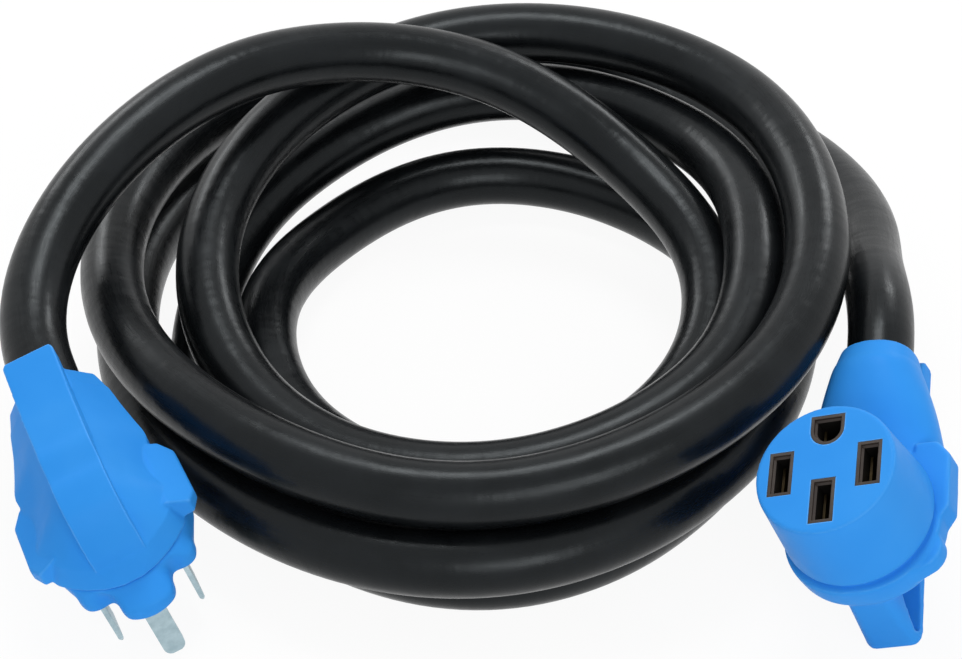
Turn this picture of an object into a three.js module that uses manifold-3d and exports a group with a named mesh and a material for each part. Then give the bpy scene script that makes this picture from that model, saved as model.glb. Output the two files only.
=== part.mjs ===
// Shore power cord: a coiled four-core cable with a right-angle plug and a right-angle connector.
// Millimetres, +Z up. The origin lies on the surface that the cord rests on, midway between its two ends.
import * as THREE from 'three';
import { mergeVertices } from 'three/addons/utils/BufferGeometryUtils.js';
import Module from 'manifold-3d';

const wasm = await Module();
wasm.setup();

// ---------- driving dimensions ----------

const clearance = 0.3; // between pieces that seat on each other

const cable = {
  diameter: 24.3,
  flatShare: 0.1, // of the diameter, taken off where the coil lies on the surface
  sides: 6,
  stepsPerTurn: 24,
  leadSides: 10,
  leadStep: 1, // diameters between two rings of a lead
  leadPull: 0.37, // how far each lead runs on in its end directions, as a share of its span
};

// The coil is wound clockwise seen from above, from the plug to the connector.
// Each row is one turn, with eight stations 45 degrees apart: left, back left, back, back right,
// right, front right, front and front left. The first turn starts at back left. reach is the distance
// from the coil's centre to the middle of the cable, and rise is the height of that middle above a
// turn that lies on the surface.
const coil = {
  centre: [0.55, 111.1],
  stationsPerTurn: 8,
  reach: [
    [107.5, 91, 85.5, 90, 93, 93, 88],
    [85, 89, 104, 108, 109, 117, 133, 120],
    [110, 116, 121, 114, 105, 112, 110, 106],
    [106, 111, 125, 130, 127, 134, 134, 135],
    [143, 154, 165, 143, 120, 130, 148, 141],
    [139, 158, 188, 168, 150],
  ],
  rise: [
    [81, 65, 40, 27.5, 17, 7, 4],
    [6, 1, 2, 0, 0, 0, 0, 0],
    [1, 14, 33, 42, 50, 42, 28, 24],
    [37, 51, 60, 63, 63, 56, 43, 42],
    [35, 32, 26, 23, 24, 23, 21, 16],
    [9, 1, 1, 15, 41],
  ],
};

// Where the two ends lie: the middle of each mating face, and the turn, pitch and roll of the end.
const layout = {
  plugAt: [-119.15, -34.7],
  plugTurn: { yaw: -156.4, pitch: -4.5, roll: 16.0 },
  connectorAt: [116.45, -33.1],
  connectorTurn: { yaw: 171.5, pitch: -16.3, roll: -154.9 },
};

// Contact layout, shared by the two ends.
const pole = {
  hotSpacing: 31.8,
  neutralOffset: 12.5,
  groundOffset: 15.4,
  bladeWidth: 12.4,
  bladeThickness: 1.9,
  groundWidth: 6.6,
  groundDepth: 6.4,
};

const core = { hotDiameter: 7, groundDiameter: 6, spread: 5.35, sides: 8 };

const barrel = { diameter: 8.6, length: 12, sides: 10 };

// In both ends Z = 0 is the mating face, +Z runs to the back and +Y away from the cable.
const plug = {
  noseHeight: 11,
  noseFloor: 4,
  noseEdge: 3.4, // by which the nose's front edge draws in
  lobeHeight: 8,
  pad: [0, -3, 15.5], // the flat middle of the nose
  hotLobe: [14.4, 0, 8.2], // x, y and radius
  neutralLobe: [0, -14.5, 8.4],
  groundLobe: [0, 12, 9.5],
  noseHalf: 27.6,
  rimHalf: 29.3,
  rimFront: 22.3, // from the middle of the body to the front of its rim
  bodyMiddle: -14,
  rimTop: 21.2,
  rimEdge: 2.2,
  backReach: 24, // of the shell, from the middle of the body
  domeTop: 41,
  dome: [ // height, and the insets from the rim at the sides and in front
    [30, 3.4, 5],
    [35, 6.2, 9],
    [38.8, 10.8, 14],
  ],
  domeCrown: [18, 19.5], // the same insets at the top
  neck: [ // station on Y, half width and top
    [-58, 17.9, 46.4],
    [-42, 21.4, 45],
    [-28, 25.2, 43],
  ],
  neckFoot: 14,
  neckHalf: 27.4, // where the neck ends in the dome
  hollow: [ // height, half width, and reach in front and behind: the room inside the shell
    [10, 25.4, 18.6, 19.6],
    [22, 24.8, 18, 19.6],
    [31, 22, 14.5, 19],
    [37, 15.5, 8.5, 16],
  ],
  throat: [ // station on Y, half width, floor and ceiling: the room behind the jacket's end
    [-32, 17.5, 15.5, 40.5],
    [-20, 20, 15, 37],
  ],
  mouthReach: 71.5,
  mouthRadius: 14.4,
  mouthLean: 22, // degrees by which the collar's end face leans back
  axisHeight: 31.5,
  jacketEnd: 44,
  bladeLength: 22.5,
  groundLength: 25.2,
  shoulder: 5.4, // the blades' wide part ends this far above the mating face
  neckSetback: 3.8, // from the middle of a blade back to the far side of its neck
  barrelHeight: 20,
  groundBarrelHeight: 29.6,
};

const plugStrap = {
  width: 19,
  frontReach: 7.2,
  footHeight: 19,
  crest: [-7, 43],
  waist: [-24, 45.6],
  shoulder: [-42, 48.8],
  tipReach: 70,
  tipHeight: 53.6,
  tipThickness: 6.8,
  edge: 1.4,
};

const connector = {
  faceRadius: 25,
  baseRadius: 27.9,
  faceEdge: 0.9,
  barrelDepth: 34,
  faceThickness: 3,
  rimRadius: 28.5,
  rimHeight: 12,
  rimEdge: 1.8,
  domeTop: 62,
  dome: [ // height, half width and reach in front
    [51, 25.6, 22.5],
    [56, 21.5, 15.5],
    [59.6, 16, 7],
  ],
  backReach: 30,
  boot: [ // station on Y, half width, floor and top
    [-66.5, 16.2, 26, 57.4],
    [-60, 18.2, 25, 59.4],
    [-47, 21.4, 27.5, 60.6],
    [-32, 24.2, 32, 62],
  ],
  bootRoot: [[-18, 27], [-4, 27.4]], // station on Y and half width, inside the dome
  hollow: [ // height, half width, and reach in front and behind: the room behind the contact block
    [26, 21.6, 21.6, 21.6],
    [29, 23.6, 21.4, 24.4],
    [40, 23, 19.6, 25],
    [51.5, 16, 10, 26],
  ],
  throat: [ // station on Y, half width, floor and ceiling: the room behind the jacket's end
    [-31, 18.5, 33.5, 56],
    [-22, 20.5, 33, 55],
    [-8, 20.5, 32.5, 52],
  ],
  mouthReach: 70.8,
  mouthRadius: 13.3,
  axisHeight: 42,
  jacketEnd: 44,
  blockRadius: 21.6,
  blockDepth: 20,
  slotLength: 13.2,
  slotWidth: 4.6,
  groundSlot: 8.6,
  frameEdge: 2.2, // the dark rim round each slot
  contactSetback: 6.5,
  contactGauge: 0.9,
  crimps: { // the far end and the height of each crimp barrel
    hot_left: [6, 37],
    hot_right: [6, 37],
    neutral: [8, 46.5],
    ground: [-11.4, 38],
  },
};

const handle = {
  width: 19.2,
  thickness: 5.8,
  tipReach: 80.4,
  tipHeight: 66.6,
  farReach: 29.6,
  farHeight: 74.8,
  openingNear: -6,
  legFoot: 17.5,
  edge: 1.4,
};

// The raised pads on both sides of each rim.
const wing = { reach: 30.3, height: 10.4, near: -30, far: 0.8, corner: 4, root: 18 };

// ---------- materials ----------

const material = {
  jacket: new THREE.MeshStandardMaterial({ color: 0x15171a, roughness: 0.42 }),
  blue: new THREE.MeshStandardMaterial({ color: 0x2f8fe8, roughness: 0.45 }),
  dark: new THREE.MeshStandardMaterial({ color: 0x4a4038, roughness: 0.6 }),
  plated: new THREE.MeshStandardMaterial({ color: 0xb9bec2, roughness: 0.3, metalness: 0.9 }),
  brass: new THREE.MeshStandardMaterial({ color: 0xb5964a, roughness: 0.35, metalness: 0.9 }),
  black: new THREE.MeshStandardMaterial({ color: 0x1b1b1d, roughness: 0.6 }),
  red: new THREE.MeshStandardMaterial({ color: 0xa62a22, roughness: 0.6 }),
  white: new THREE.MeshStandardMaterial({ color: 0xd8d8d2, roughness: 0.6 }),
  green: new THREE.MeshStandardMaterial({ color: 0x2d7a3c, roughness: 0.6 }),
};

// ---------- helpers ----------

function solid(geometry) {
  const bare = geometry.clone();
  bare.deleteAttribute('normal');
  bare.deleteAttribute('uv');
  const merged = mergeVertices(bare, 1e-4);
  return new wasm.Manifold(new wasm.Mesh({
    numProp: 3,
    vertProperties: new Float32Array(merged.attributes.position.array),
    triVerts: new Uint32Array(merged.index.array),
  }));
}

function toGeometry(body) {
  const mesh = body.getMesh();
  const geometry = new THREE.BufferGeometry();
  geometry.setAttribute('position', new THREE.BufferAttribute(new Float32Array(mesh.vertProperties), 3));
  geometry.setIndex(new THREE.BufferAttribute(new Uint32Array(mesh.triVerts), 1));
  geometry.computeVertexNormals();
  return geometry;
}

function join(first, ...others) {
  return others.reduce((sum, next) => sum.add(next), first);
}

function cut(body, ...tools) {
  return tools.reduce((rest, tool) => rest.subtract(tool), body);
}

// A block between two corners.
function block(low, high) {
  const geometry = new THREE.BoxGeometry(high[0] - low[0], high[1] - low[1], high[2] - low[2]);
  geometry.translate((low[0] + high[0]) / 2, (low[1] + high[1]) / 2, (low[2] + high[2]) / 2);
  return solid(geometry);
}

// An upright disc or cone between two heights.
function upright(radiusLow, radiusHigh, low, high, sides = 40) {
  const geometry = new THREE.CylinderGeometry(radiusHigh, radiusLow, high - low, sides);
  geometry.rotateX(Math.PI / 2);
  geometry.translate(0, 0, (low + high) / 2);
  return solid(geometry);
}

// A rod along Y between two stations.
function rodAlongY(radius, x, z, near, far, sides) {
  const geometry = new THREE.CylinderGeometry(radius, radius, far - near, sides);
  geometry.translate(x, (near + far) / 2, z);
  return solid(geometry);
}

// A plan outline pushed up from one height to another, with an optional rounded edge at both ends.
function plate(shape, low, high, edge = 0) {
  const geometry = new THREE.ExtrudeGeometry(shape, {
    depth: high - low - 2 * edge,
    bevelEnabled: edge > 0,
    bevelThickness: edge,
    bevelSize: edge,
    bevelOffset: -edge,
    bevelSegments: 2,
    curveSegments: 10,
  });
  geometry.translate(0, 0, low + edge);
  return solid(geometry);
}

// A side profile, drawn as (y, z), given a width across X with rounded edges.
function sideProfile(shape, width, edge) {
  const geometry = new THREE.ExtrudeGeometry(shape, {
    depth: width - 2 * edge,
    bevelEnabled: edge > 0,
    bevelThickness: edge,
    bevelSize: edge,
    bevelOffset: -edge,
    bevelSegments: 2,
    curveSegments: 6,
  });
  geometry.translate(0, 0, edge - width / 2);
  const axes = new THREE.Matrix4().makeBasis(
    new THREE.Vector3(0, 1, 0), new THREE.Vector3(0, 0, 1), new THREE.Vector3(1, 0, 0));
  geometry.applyMatrix4(axes);
  return solid(geometry);
}

// A closed skin over rings of equal point counts, from the first ring to the last.
function skin(rings) {
  const count = rings[0].length;
  const points = rings.flat();
  const faces = [];
  for (let r = 0; r < rings.length - 1; r += 1) {
    for (let i = 0; i < count; i += 1) {
      const a = r * count + i;
      const b = r * count + ((i + 1) % count);
      faces.push(a, b, b + count, a, b + count, a + count);
    }
  }
  const last = (rings.length - 1) * count;
  for (let i = 1; i < count - 1; i += 1) {
    faces.push(0, i + 1, i);
    faces.push(last, last + i, last + i + 1);
  }
  const geometry = new THREE.BufferGeometry();
  geometry.setAttribute('position', new THREE.Float32BufferAttribute(points.flatMap(p => [p.x, p.y, p.z]), 3));
  geometry.setIndex(faces);
  geometry.computeVertexNormals();
  return geometry;
}

// A body lofted along Y. Each section is a rounded box with a half width, a low and a high side,
// and a power: 2 is an ellipse, and more is squarer.
function loftAlongY(sections, count = 28) {
  const rings = sections.map(({ y, half, low, high, power }) => {
    const ring = [];
    for (let i = 0; i < count; i += 1) {
      const angle = -(2 * Math.PI * i) / count;
      const c = Math.cos(angle);
      const s = Math.sin(angle);
      const x = Math.sign(c) * Math.abs(c) ** (2 / power) * half;
      const z = (low + high) / 2 + Math.sign(s) * Math.abs(s) ** (2 / power) * (high - low) / 2;
      ring.push(new THREE.Vector3(x, y, z));
    }
    return ring;
  });
  return solid(skin(rings));
}

// A turned body about Z, from a closed half profile of (radius, height) points.
function turned(points, segments = 48) {
  const geometry = new THREE.LatheGeometry(points.map(([r, z]) => new THREE.Vector2(r, z)), segments);
  geometry.rotateX(Math.PI / 2);
  return solid(geometry);
}

// A body stacked up Z. Each ring has a middle on Y, a half width, a front and a back reach from
// that middle, and a power: 2 is an ellipse, and more is squarer.
function stack(levels, count = 48) {
  const rings = levels.map(({ z, middle = 0, half, front, back = front, power = 2 }) => {
    const ring = [];
    for (let i = 0; i < count; i += 1) {
      const angle = (2 * Math.PI * i) / count;
      const c = Math.cos(angle);
      const s = Math.sin(angle);
      const x = Math.sign(c) * Math.abs(c) ** (2 / power) * half;
      const y = middle + Math.sign(s) * Math.abs(s) ** (2 / power) * (s > 0 ? front : back);
      ring.push(new THREE.Vector3(x, y, z));
    }
    return ring;
  });
  return solid(skin(rings));
}

function disc([x, y, radius]) {
  const shape = new THREE.Shape();
  shape.absarc(x, y, radius, 0, 2 * Math.PI, false);
  return shape;
}

// The half-round outline of the ground contact: flat towards `side` on Y, round the other way.
function groundOutline(x, y, width, depth, side) {
  const shape = new THREE.Shape();
  const radius = width / 2;
  const flat = y + side * (depth / 2);
  const centre = y - side * (depth / 2 - radius);
  shape.moveTo(x - radius, flat);
  shape.lineTo(x - radius, centre);
  shape.absarc(x, centre, radius, Math.PI, side > 0 ? 2 * Math.PI : 0, side < 0);
  shape.lineTo(x + radius, flat);
  shape.closePath();
  return shape;
}

function polygon(points) {
  const shape = new THREE.Shape();
  points.forEach(([x, y], i) => (i === 0 ? shape.moveTo(x, y) : shape.lineTo(x, y)));
  shape.closePath();
  return shape;
}

function rectangle(x, y, width, depth) {
  return polygon([
    [x - width / 2, y - depth / 2], [x + width / 2, y - depth / 2],
    [x + width / 2, y + depth / 2], [x - width / 2, y + depth / 2],
  ]);
}

// ---------- cable ----------

// A smooth value through a list of stations, at a place between them.
function through(values, place) {
  const i = Math.min(Math.max(Math.floor(place), 0), values.length - 2);
  const f = place - i;
  const here = values[i];
  const next = values[i + 1];
  const before = i > 0 ? values[i - 1] : 2 * here - next;
  const after = i + 2 < values.length ? values[i + 2] : 2 * next - here;
  return 0.5 * (2 * here + (next - before) * f + (2 * before - 5 * here + 4 * next - after) * f * f
    + (3 * here - before - 3 * next + after) * f * f * f);
}

function coilRoute() {
  const reach = coil.reach.flat();
  const rise = coil.rise.flat();
  const lying = cable.diameter * (0.5 - cable.flatShare);
  const turns = (reach.length - 1) / coil.stationsPerTurn;
  const skipped = 1 - coil.reach[0].length / coil.stationsPerTurn; // of the first turn
  const steps = Math.round(turns * cable.stepsPerTurn);
  const route = [];
  for (let i = 0; i <= steps; i += 1) {
    const place = (i / cable.stepsPerTurn) * coil.stationsPerTurn;
    const angle = Math.PI - 2 * Math.PI * (skipped + i / cable.stepsPerTurn);
    const out = through(reach, place);
    route.push(new THREE.Vector3(
      coil.centre[0] + out * Math.cos(angle),
      coil.centre[1] + out * Math.sin(angle),
      lying + through(rise, place)));
  }
  return route;
}

// One unbroken tube along a route, with a corner of its section kept at the sides and a flat below.
function tubeAlong(route, radius, sides) {
  const up = new THREE.Vector3(0, 0, 1);
  const rings = route.map((point, i) => {
    const ahead = route[Math.min(i + 1, route.length - 1)];
    const behind = route[Math.max(i - 1, 0)];
    const along = ahead.clone().sub(behind).normalize();
    const side = new THREE.Vector3().crossVectors(along, up).normalize();
    const over = new THREE.Vector3().crossVectors(side, along);
    const ring = [];
    for (let k = 0; k < sides; k += 1) {
      const angle = -(2 * Math.PI * k) / sides;
      ring.push(point.clone()
        .addScaledVector(side, radius * Math.cos(angle))
        .addScaledVector(over, radius * Math.sin(angle)));
    }
    return ring;
  });
  return skin(rings);
}

// The least gap between two stretches of one cable, measured on points a few millimetres apart.
function leastGap(route, diameter, spacing = 4) {
  const points = new THREE.CatmullRomCurve3(route);
  const count = Math.round(points.getLength() / spacing);
  const marks = points.getSpacedPoints(count);
  const skip = Math.ceil((3 * diameter) / spacing);
  let least = Infinity;
  for (let i = 0; i < marks.length; i += 1) {
    for (let k = i + skip; k < marks.length; k += 1) {
      least = Math.min(least, marks[i].distanceTo(marks[k]) - diameter);
    }
  }
  return least;
}

function cableCoil(route) {
  const tube = solid(tubeAlong(route, cable.diameter / 2, cable.sides));
  const far = 400;
  const below = block([coil.centre[0] - far, coil.centre[1] - far, -cable.diameter],
    [coil.centre[0] + far, coil.centre[1] + far, 0]);
  return toGeometry(cut(tube, below));
}

// A plain lead from inside an end to the coil: straight until it has left the collar, then a smooth bend.
function cableLead(entry, coilEnd, coilWay) {
  const start = entry.point.clone().addScaledVector(entry.way, clearance);
  const bendStart = entry.mouth.clone().addScaledVector(entry.way, cable.diameter / 4);
  const end = coilEnd.clone().addScaledVector(coilWay, clearance);
  const bendEnd = end.clone().addScaledVector(coilWay, cable.diameter / 2);
  const pull = bendStart.distanceTo(bendEnd) * cable.leadPull;
  const bend = new THREE.CubicBezierCurve3(bendStart, bendStart.clone().addScaledVector(entry.way, pull),
    bendEnd.clone().addScaledVector(coilWay, pull), bendEnd);
  const steps = Math.max(3, Math.ceil(bend.getLength() / (cable.leadStep * cable.diameter)));
  const points = [start, ...bend.getSpacedPoints(steps), end];
  let length = 0;
  for (let i = 1; i < points.length; i += 1) length += points[i].distanceTo(points[i - 1]);
  return { geometry: tubeAlong(points, cable.diameter / 2, cable.leadSides), length };
}

// ---------- inner pieces that both ends share ----------

const poles = [
  { name: 'hot_left', x: pole.hotSpacing / 2, y: 0, core: [core.spread, 0], colour: 'black' },
  { name: 'hot_right', x: -pole.hotSpacing / 2, y: 0, core: [-core.spread, 0], colour: 'red' },
  { name: 'neutral', x: 0, y: -pole.neutralOffset, core: [0, -core.spread], colour: 'white' },
  { name: 'ground', x: 0, y: pole.groundOffset, core: [0, core.spread], colour: 'green' },
];

// An insulated core from its crimp to the end of the jacket.
function coreLead(from, to, diameter) {
  const run = Math.abs(to.y - from.y);
  const curve = new THREE.CubicBezierCurve3(from, from.clone().add(new THREE.Vector3(0, -0.25 * run, 0)),
    to.clone().add(new THREE.Vector3(0, 0.5 * run, 0)), to);
  const section = new THREE.Shape();
  section.absarc(0, 0, diameter / 2, 0, 2 * Math.PI, false);
  return new THREE.ExtrudeGeometry(section, {
    extrudePath: curve, steps: 8, curveSegments: core.sides, bevelEnabled: false,
  });
}

function piece(name, geometry, look) {
  const mesh = new THREE.Mesh(geometry, look);
  mesh.name = name;
  return mesh;
}

// ---------- plug ----------

function plugStrapProfile() {
  const s = plugStrap;
  const shape = new THREE.Shape();
  shape.moveTo(s.frontReach - 0.6, s.footHeight);
  shape.bezierCurveTo(s.frontReach + 1.6, s.crest[1] - 12, s.crest[0] + 10, s.crest[1] - 0.5, ...s.crest);
  shape.bezierCurveTo(s.crest[0] - 7, s.crest[1] + 0.4, s.waist[0] + 7, s.waist[1] - 1.6, ...s.waist);
  shape.bezierCurveTo(s.waist[0] - 6, s.waist[1] + 1.4, s.shoulder[0] + 6, s.shoulder[1] - 1, ...s.shoulder);
  shape.lineTo(-s.tipReach + 2.6, s.tipHeight);
  shape.quadraticCurveTo(-s.tipReach, s.tipHeight + 0.2, -s.tipReach, s.tipHeight - 2.6);
  shape.lineTo(-s.tipReach, s.tipHeight - s.tipThickness);
  shape.lineTo(-s.tipReach + 14, plug.axisHeight + 8);
  shape.lineTo(plug.bodyMiddle, s.footHeight + 6);
  shape.closePath();
  return shape;
}

// Two pads, one on each side, standing on the rim's lower edge.
function wingPair(low, reach, near, far) {
  const outline = polygon([
    [wing.root, near], [reach - wing.corner, near], [reach, near + wing.corner],
    [reach, far - wing.corner], [reach - wing.corner, far], [wing.root, far],
  ]);
  const right = plate(outline, low, low + wing.height, 1);
  return join(right, right.mirror([1, 0, 0]));
}

function plugOutside() {
  const p = plug;
  const middle = p.bodyMiddle;
  const foot = p.noseHeight + clearance;
  const ring = (z, side, front) => (
    { z, middle, half: p.rimHalf - side, front: p.rimFront - front, back: p.backReach, power: 2.2 });
  const shell = stack([
    ring(foot, 1.6, 1.5), ring(foot + 1.1, 0, 0), ring(p.rimTop, 0, 0),
    ring(p.rimTop + p.rimEdge, p.rimEdge, p.rimEdge),
    ...p.dome.map(row => ring(...row)),
    ring(p.domeTop, ...p.domeCrown),
  ]);
  const mouth = { half: p.mouthRadius, low: p.axisHeight - p.mouthRadius, high: p.axisHeight + p.mouthRadius };
  const neck = loftAlongY([
    { ...mouth, y: -p.mouthReach - 6, power: 2 },
    { ...mouth, y: -p.mouthReach + 2, power: 2 },
    ...p.neck.map(([y, half, high], i) => ({ y, half, low: i === 0 ? p.neckFoot : foot, high, power: 2.4 })),
    { y: middle, half: p.neckHalf, low: foot, high: p.domeTop, power: 2.4 },
  ]);
  const lean = block([-2 * p.rimHalf, -p.mouthReach, -p.mouthReach], [2 * p.rimHalf, 0, p.mouthReach])
    .rotate([-p.mouthLean, 0, 0]).translate([0, -p.mouthReach, p.axisHeight - 3]);
  return join(shell, cut(neck, lean), sideProfile(plugStrapProfile(), plugStrap.width, plugStrap.edge),
    wingPair(foot + 0.6, wing.reach, wing.near, wing.far));
}

function plugBody() {
  const p = plug;
  const middle = p.bodyMiddle;
  const bore = cable.diameter / 2 + clearance;
  const around = { half: bore, low: p.axisHeight - bore, high: p.axisHeight + bore };
  const hollow = [
    stack(p.hollow.map(([z, half, front, back]) => ({ z, middle, half, front, back, power: 2.2 }))),
    loftAlongY([
      { ...around, y: -p.jacketEnd - 0.5, power: 2 },
      ...p.throat.map(([y, half, low, high]) => ({ y, half, low, high, power: 2.5 })),
    ]),
    rodAlongY(bore, 0, p.axisHeight, -p.mouthReach - 5, -p.jacketEnd, 24),
  ];
  return toGeometry(cut(plugOutside(), ...hollow));
}

function bladeOutline(at, grow = 0) {
  return at.name === 'ground'
    ? groundOutline(at.x, at.y, pole.groundWidth + 2 * grow, pole.groundDepth + 2 * grow, 1)
    : rectangle(at.x, at.y, pole.bladeThickness + 2 * grow, pole.bladeWidth + 2 * grow);
}

// The ground contact's strip runs inside the nose, from the pin back to its post.
const groundStrip = { half: 3, low: 4.4, high: 7, postNear: -5.9, postFar: -3.4 };

function plugFace() {
  const p = plug;
  const middle = p.bodyMiddle;
  const back = p.backReach - 2;
  const band = (z, inset) => (
    { z, middle, half: p.noseHalf - inset, front: p.rimFront - 1 - inset, back: back - inset, power: 2.2 });
  const [lobeX, lobeY, lobeRadius] = p.hotLobe;
  const [, groundY, groundRadius] = p.groundLobe;
  const [, [, collarHalf, collarFront, collarBack]] = p.hollow;
  const collar = (z, gap) => (
    { z, middle, half: collarHalf - gap, front: collarFront - gap, back: collarBack - gap, power: 2.2 });
  const nose = join(
    stack([band(p.noseFloor - 1.4, p.noseEdge), band(p.noseFloor + 0.6, 0.6),
      band(p.noseHeight - 1, 0), band(p.noseHeight, 1)]),
    plate(disc(p.hotLobe), 0, p.lobeHeight, 1),
    plate(disc([-lobeX, lobeY, lobeRadius]), 0, p.lobeHeight, 1),
    plate(disc(p.neutralLobe), 0, p.lobeHeight, 1),
    plate(disc(p.groundLobe), 0, p.lobeHeight, 1),
    plate(disc(p.pad), 0, p.lobeHeight, 0.6),
    stack([
      { z: p.lobeHeight - 0.9, middle: groundY, half: groundRadius, front: groundRadius },
      { z: p.lobeHeight + 1.3, middle: groundY / 2, half: groundRadius - 1.4, front: groundRadius - 1.2 },
      { z: p.noseHeight - 0.3, middle: 0, half: groundRadius * 0.7, front: groundRadius * 0.7 },
    ], 32),
    // The collar that seats inside the shell.
    stack([collar(p.noseHeight - 1, clearance), collar(p.noseHeight + 3, clearance)]));
  const strip = groundStrip;
  const wall = 2.6;
  const pocket = [
    stack([collar(p.noseFloor, wall), collar(p.noseHeight + 4, wall)]),
    block([-strip.half - clearance, -1, p.noseFloor],
      [strip.half + clearance, pole.groundOffset + strip.half, strip.high + clearance]),
    ...poles.map(at => plate(bladeOutline(at, clearance), -1, p.shoulder + clearance)),
  ];
  return toGeometry(cut(nose, ...pocket));
}

// A blade, its neck and the crimp barrel that turns towards the cable.
function plugBlade(at) {
  const p = plug;
  if (at.name === 'ground') {
    const strip = groundStrip;
    return toGeometry(join(
      plate(bladeOutline(at), -p.groundLength, p.shoulder, 1.2),
      block([-strip.half, strip.postNear, strip.low], [strip.half, at.y + 2, strip.high]),
      block([-2.5, strip.postNear, strip.low], [2.5, strip.postFar, p.groundBarrelHeight]),
      rodAlongY(barrel.diameter / 2, 0, p.groundBarrelHeight, strip.postFar - barrel.length,
        strip.postFar, barrel.sides)));
  }
  const neckFar = at.y - plug.neckSetback;
  const half = pole.bladeThickness / 2;
  return toGeometry(join(
    plate(bladeOutline(at), -p.bladeLength, p.shoulder, 0.5),
    block([at.x - half, neckFar - 4, p.shoulder - 1], [at.x + half, neckFar, p.barrelHeight]),
    rodAlongY(barrel.diameter / 2, at.x, p.barrelHeight, neckFar - barrel.length, neckFar, barrel.sides)));
}

function plugCore(at) {
  const isGround = at.name === 'ground';
  const height = isGround ? plug.groundBarrelHeight : plug.barrelHeight;
  const diameter = isGround ? core.groundDiameter : core.hotDiameter;
  const far = isGround ? groundStrip.postFar : at.y - plug.neckSetback;
  const from = new THREE.Vector3(at.x, far - barrel.length - clearance, height);
  const to = new THREE.Vector3(at.core[0], -plug.jacketEnd + clearance, plug.axisHeight + at.core[1]);
  return coreLead(from, to, diameter);
}

function makePlug() {
  const group = new THREE.Group();
  group.add(piece('plug_body', plugBody(), material.blue));
  group.add(piece('plug_face', plugFace(), material.blue));
  for (const at of poles) {
    const word = at.name === 'ground' ? 'ground_pin' : `${at.name}_blade`;
    group.add(piece(`plug_${word}`, plugBlade(at), material.plated));
    group.add(piece(`plug_${at.name}_core`, plugCore(at), material[at.colour]));
  }
  return group;
}

// ---------- connector ----------

// The connector's contacts mirror the plug's: its ground is the one nearest the cable.
const sockets = poles.map(at => ({ ...at, y: -at.y, core: [at.core[0], -at.core[1]] }));

function handleProfile() {
  const h = handle;
  const shape = new THREE.Shape();
  shape.moveTo(-h.tipReach, h.tipHeight - 2);
  shape.lineTo(-h.tipReach, h.tipHeight - h.thickness);
  shape.lineTo(-connector.mouthReach + 14, connector.axisHeight + 12);
  shape.lineTo(0, connector.axisHeight + 6);
  shape.lineTo(h.legFoot, connector.barrelDepth + 3);
  shape.lineTo(h.farReach - 2.5, connector.barrelDepth + 4);
  shape.lineTo(h.farReach - 0.8, connector.barrelDepth + connector.rimHeight - 2);
  shape.lineTo(h.farReach, h.farHeight - 4);
  shape.quadraticCurveTo(h.farReach, h.farHeight, h.farReach - 4, h.farHeight);
  shape.lineTo(-h.tipReach + 2.4, h.tipHeight + 0.2);
  shape.closePath();
  return shape;
}

// The finger opening, between the back of the body and the handle's outer bar and far leg.
function fingerOpening() {
  const h = handle;
  const under = h.farHeight - h.thickness;
  return sideProfile(polygon([
    [h.openingNear, under - 2.6], [h.farReach - 4.4, under],
    [h.legFoot + 1.5, connector.domeTop - 6.5], [h.legFoot - 3, connector.domeTop - 9],
    [h.legFoot - 12, connector.domeTop - 3.5],
  ]), 3 * h.width, 0);
}

function connectorOutside() {
  const c = connector;
  const foot = c.barrelDepth + 0.8;
  const rimTop = c.barrelDepth + c.rimHeight;
  const ring = (z, half, front) => ({ z, half, front, back: c.backReach, power: 2.25 });
  const crown = c.dome[c.dome.length - 1];
  const shell = stack([
    ring(foot, c.rimRadius - 1, c.rimRadius - 1), ring(foot + 1, c.rimRadius, c.rimRadius),
    ring(rimTop - 0.8, c.rimRadius, c.rimRadius),
    ring(rimTop + 1, c.rimRadius - c.rimEdge, c.rimRadius - c.rimEdge),
    ...c.dome.map(row => ring(...row)),
    { z: c.domeTop, half: 0.56 * crown[1], front: -0.4 * crown[2], back: c.backReach - 2, power: 2.25 },
  ]);
  const boot = loftAlongY([
    { y: -c.mouthReach, half: c.mouthRadius, low: c.axisHeight - c.mouthRadius,
      high: c.axisHeight + c.mouthRadius, power: 2 },
    ...c.boot.map(([y, half, low, high]) => ({ y, half, low, high, power: 2.2 })),
    ...c.bootRoot.map(([y, half]) => ({ y, half, low: foot, high: c.domeTop, power: 2.5 })),
  ]);
  return join(
    turned([
      [0, 0], [c.faceRadius - c.faceEdge, 0], [c.faceRadius, c.faceEdge],
      [c.baseRadius, c.barrelDepth], [c.baseRadius - 0.8, c.barrelDepth + 2], [0, c.barrelDepth + 2], [0, 0],
    ]),
    shell,
    boot,
    wingPair(foot, wing.reach + 1, wing.near + 6, wing.far + 2.2));
}

function slotOutline(at, grow) {
  return at.name === 'ground'
    ? groundOutline(at.x, at.y, connector.groundSlot + 2 * grow, connector.groundSlot - 0.6 + 2 * grow, -1)
    : rectangle(at.x, at.y, connector.slotWidth + 2 * grow, connector.slotLength + 2 * grow);
}

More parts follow.
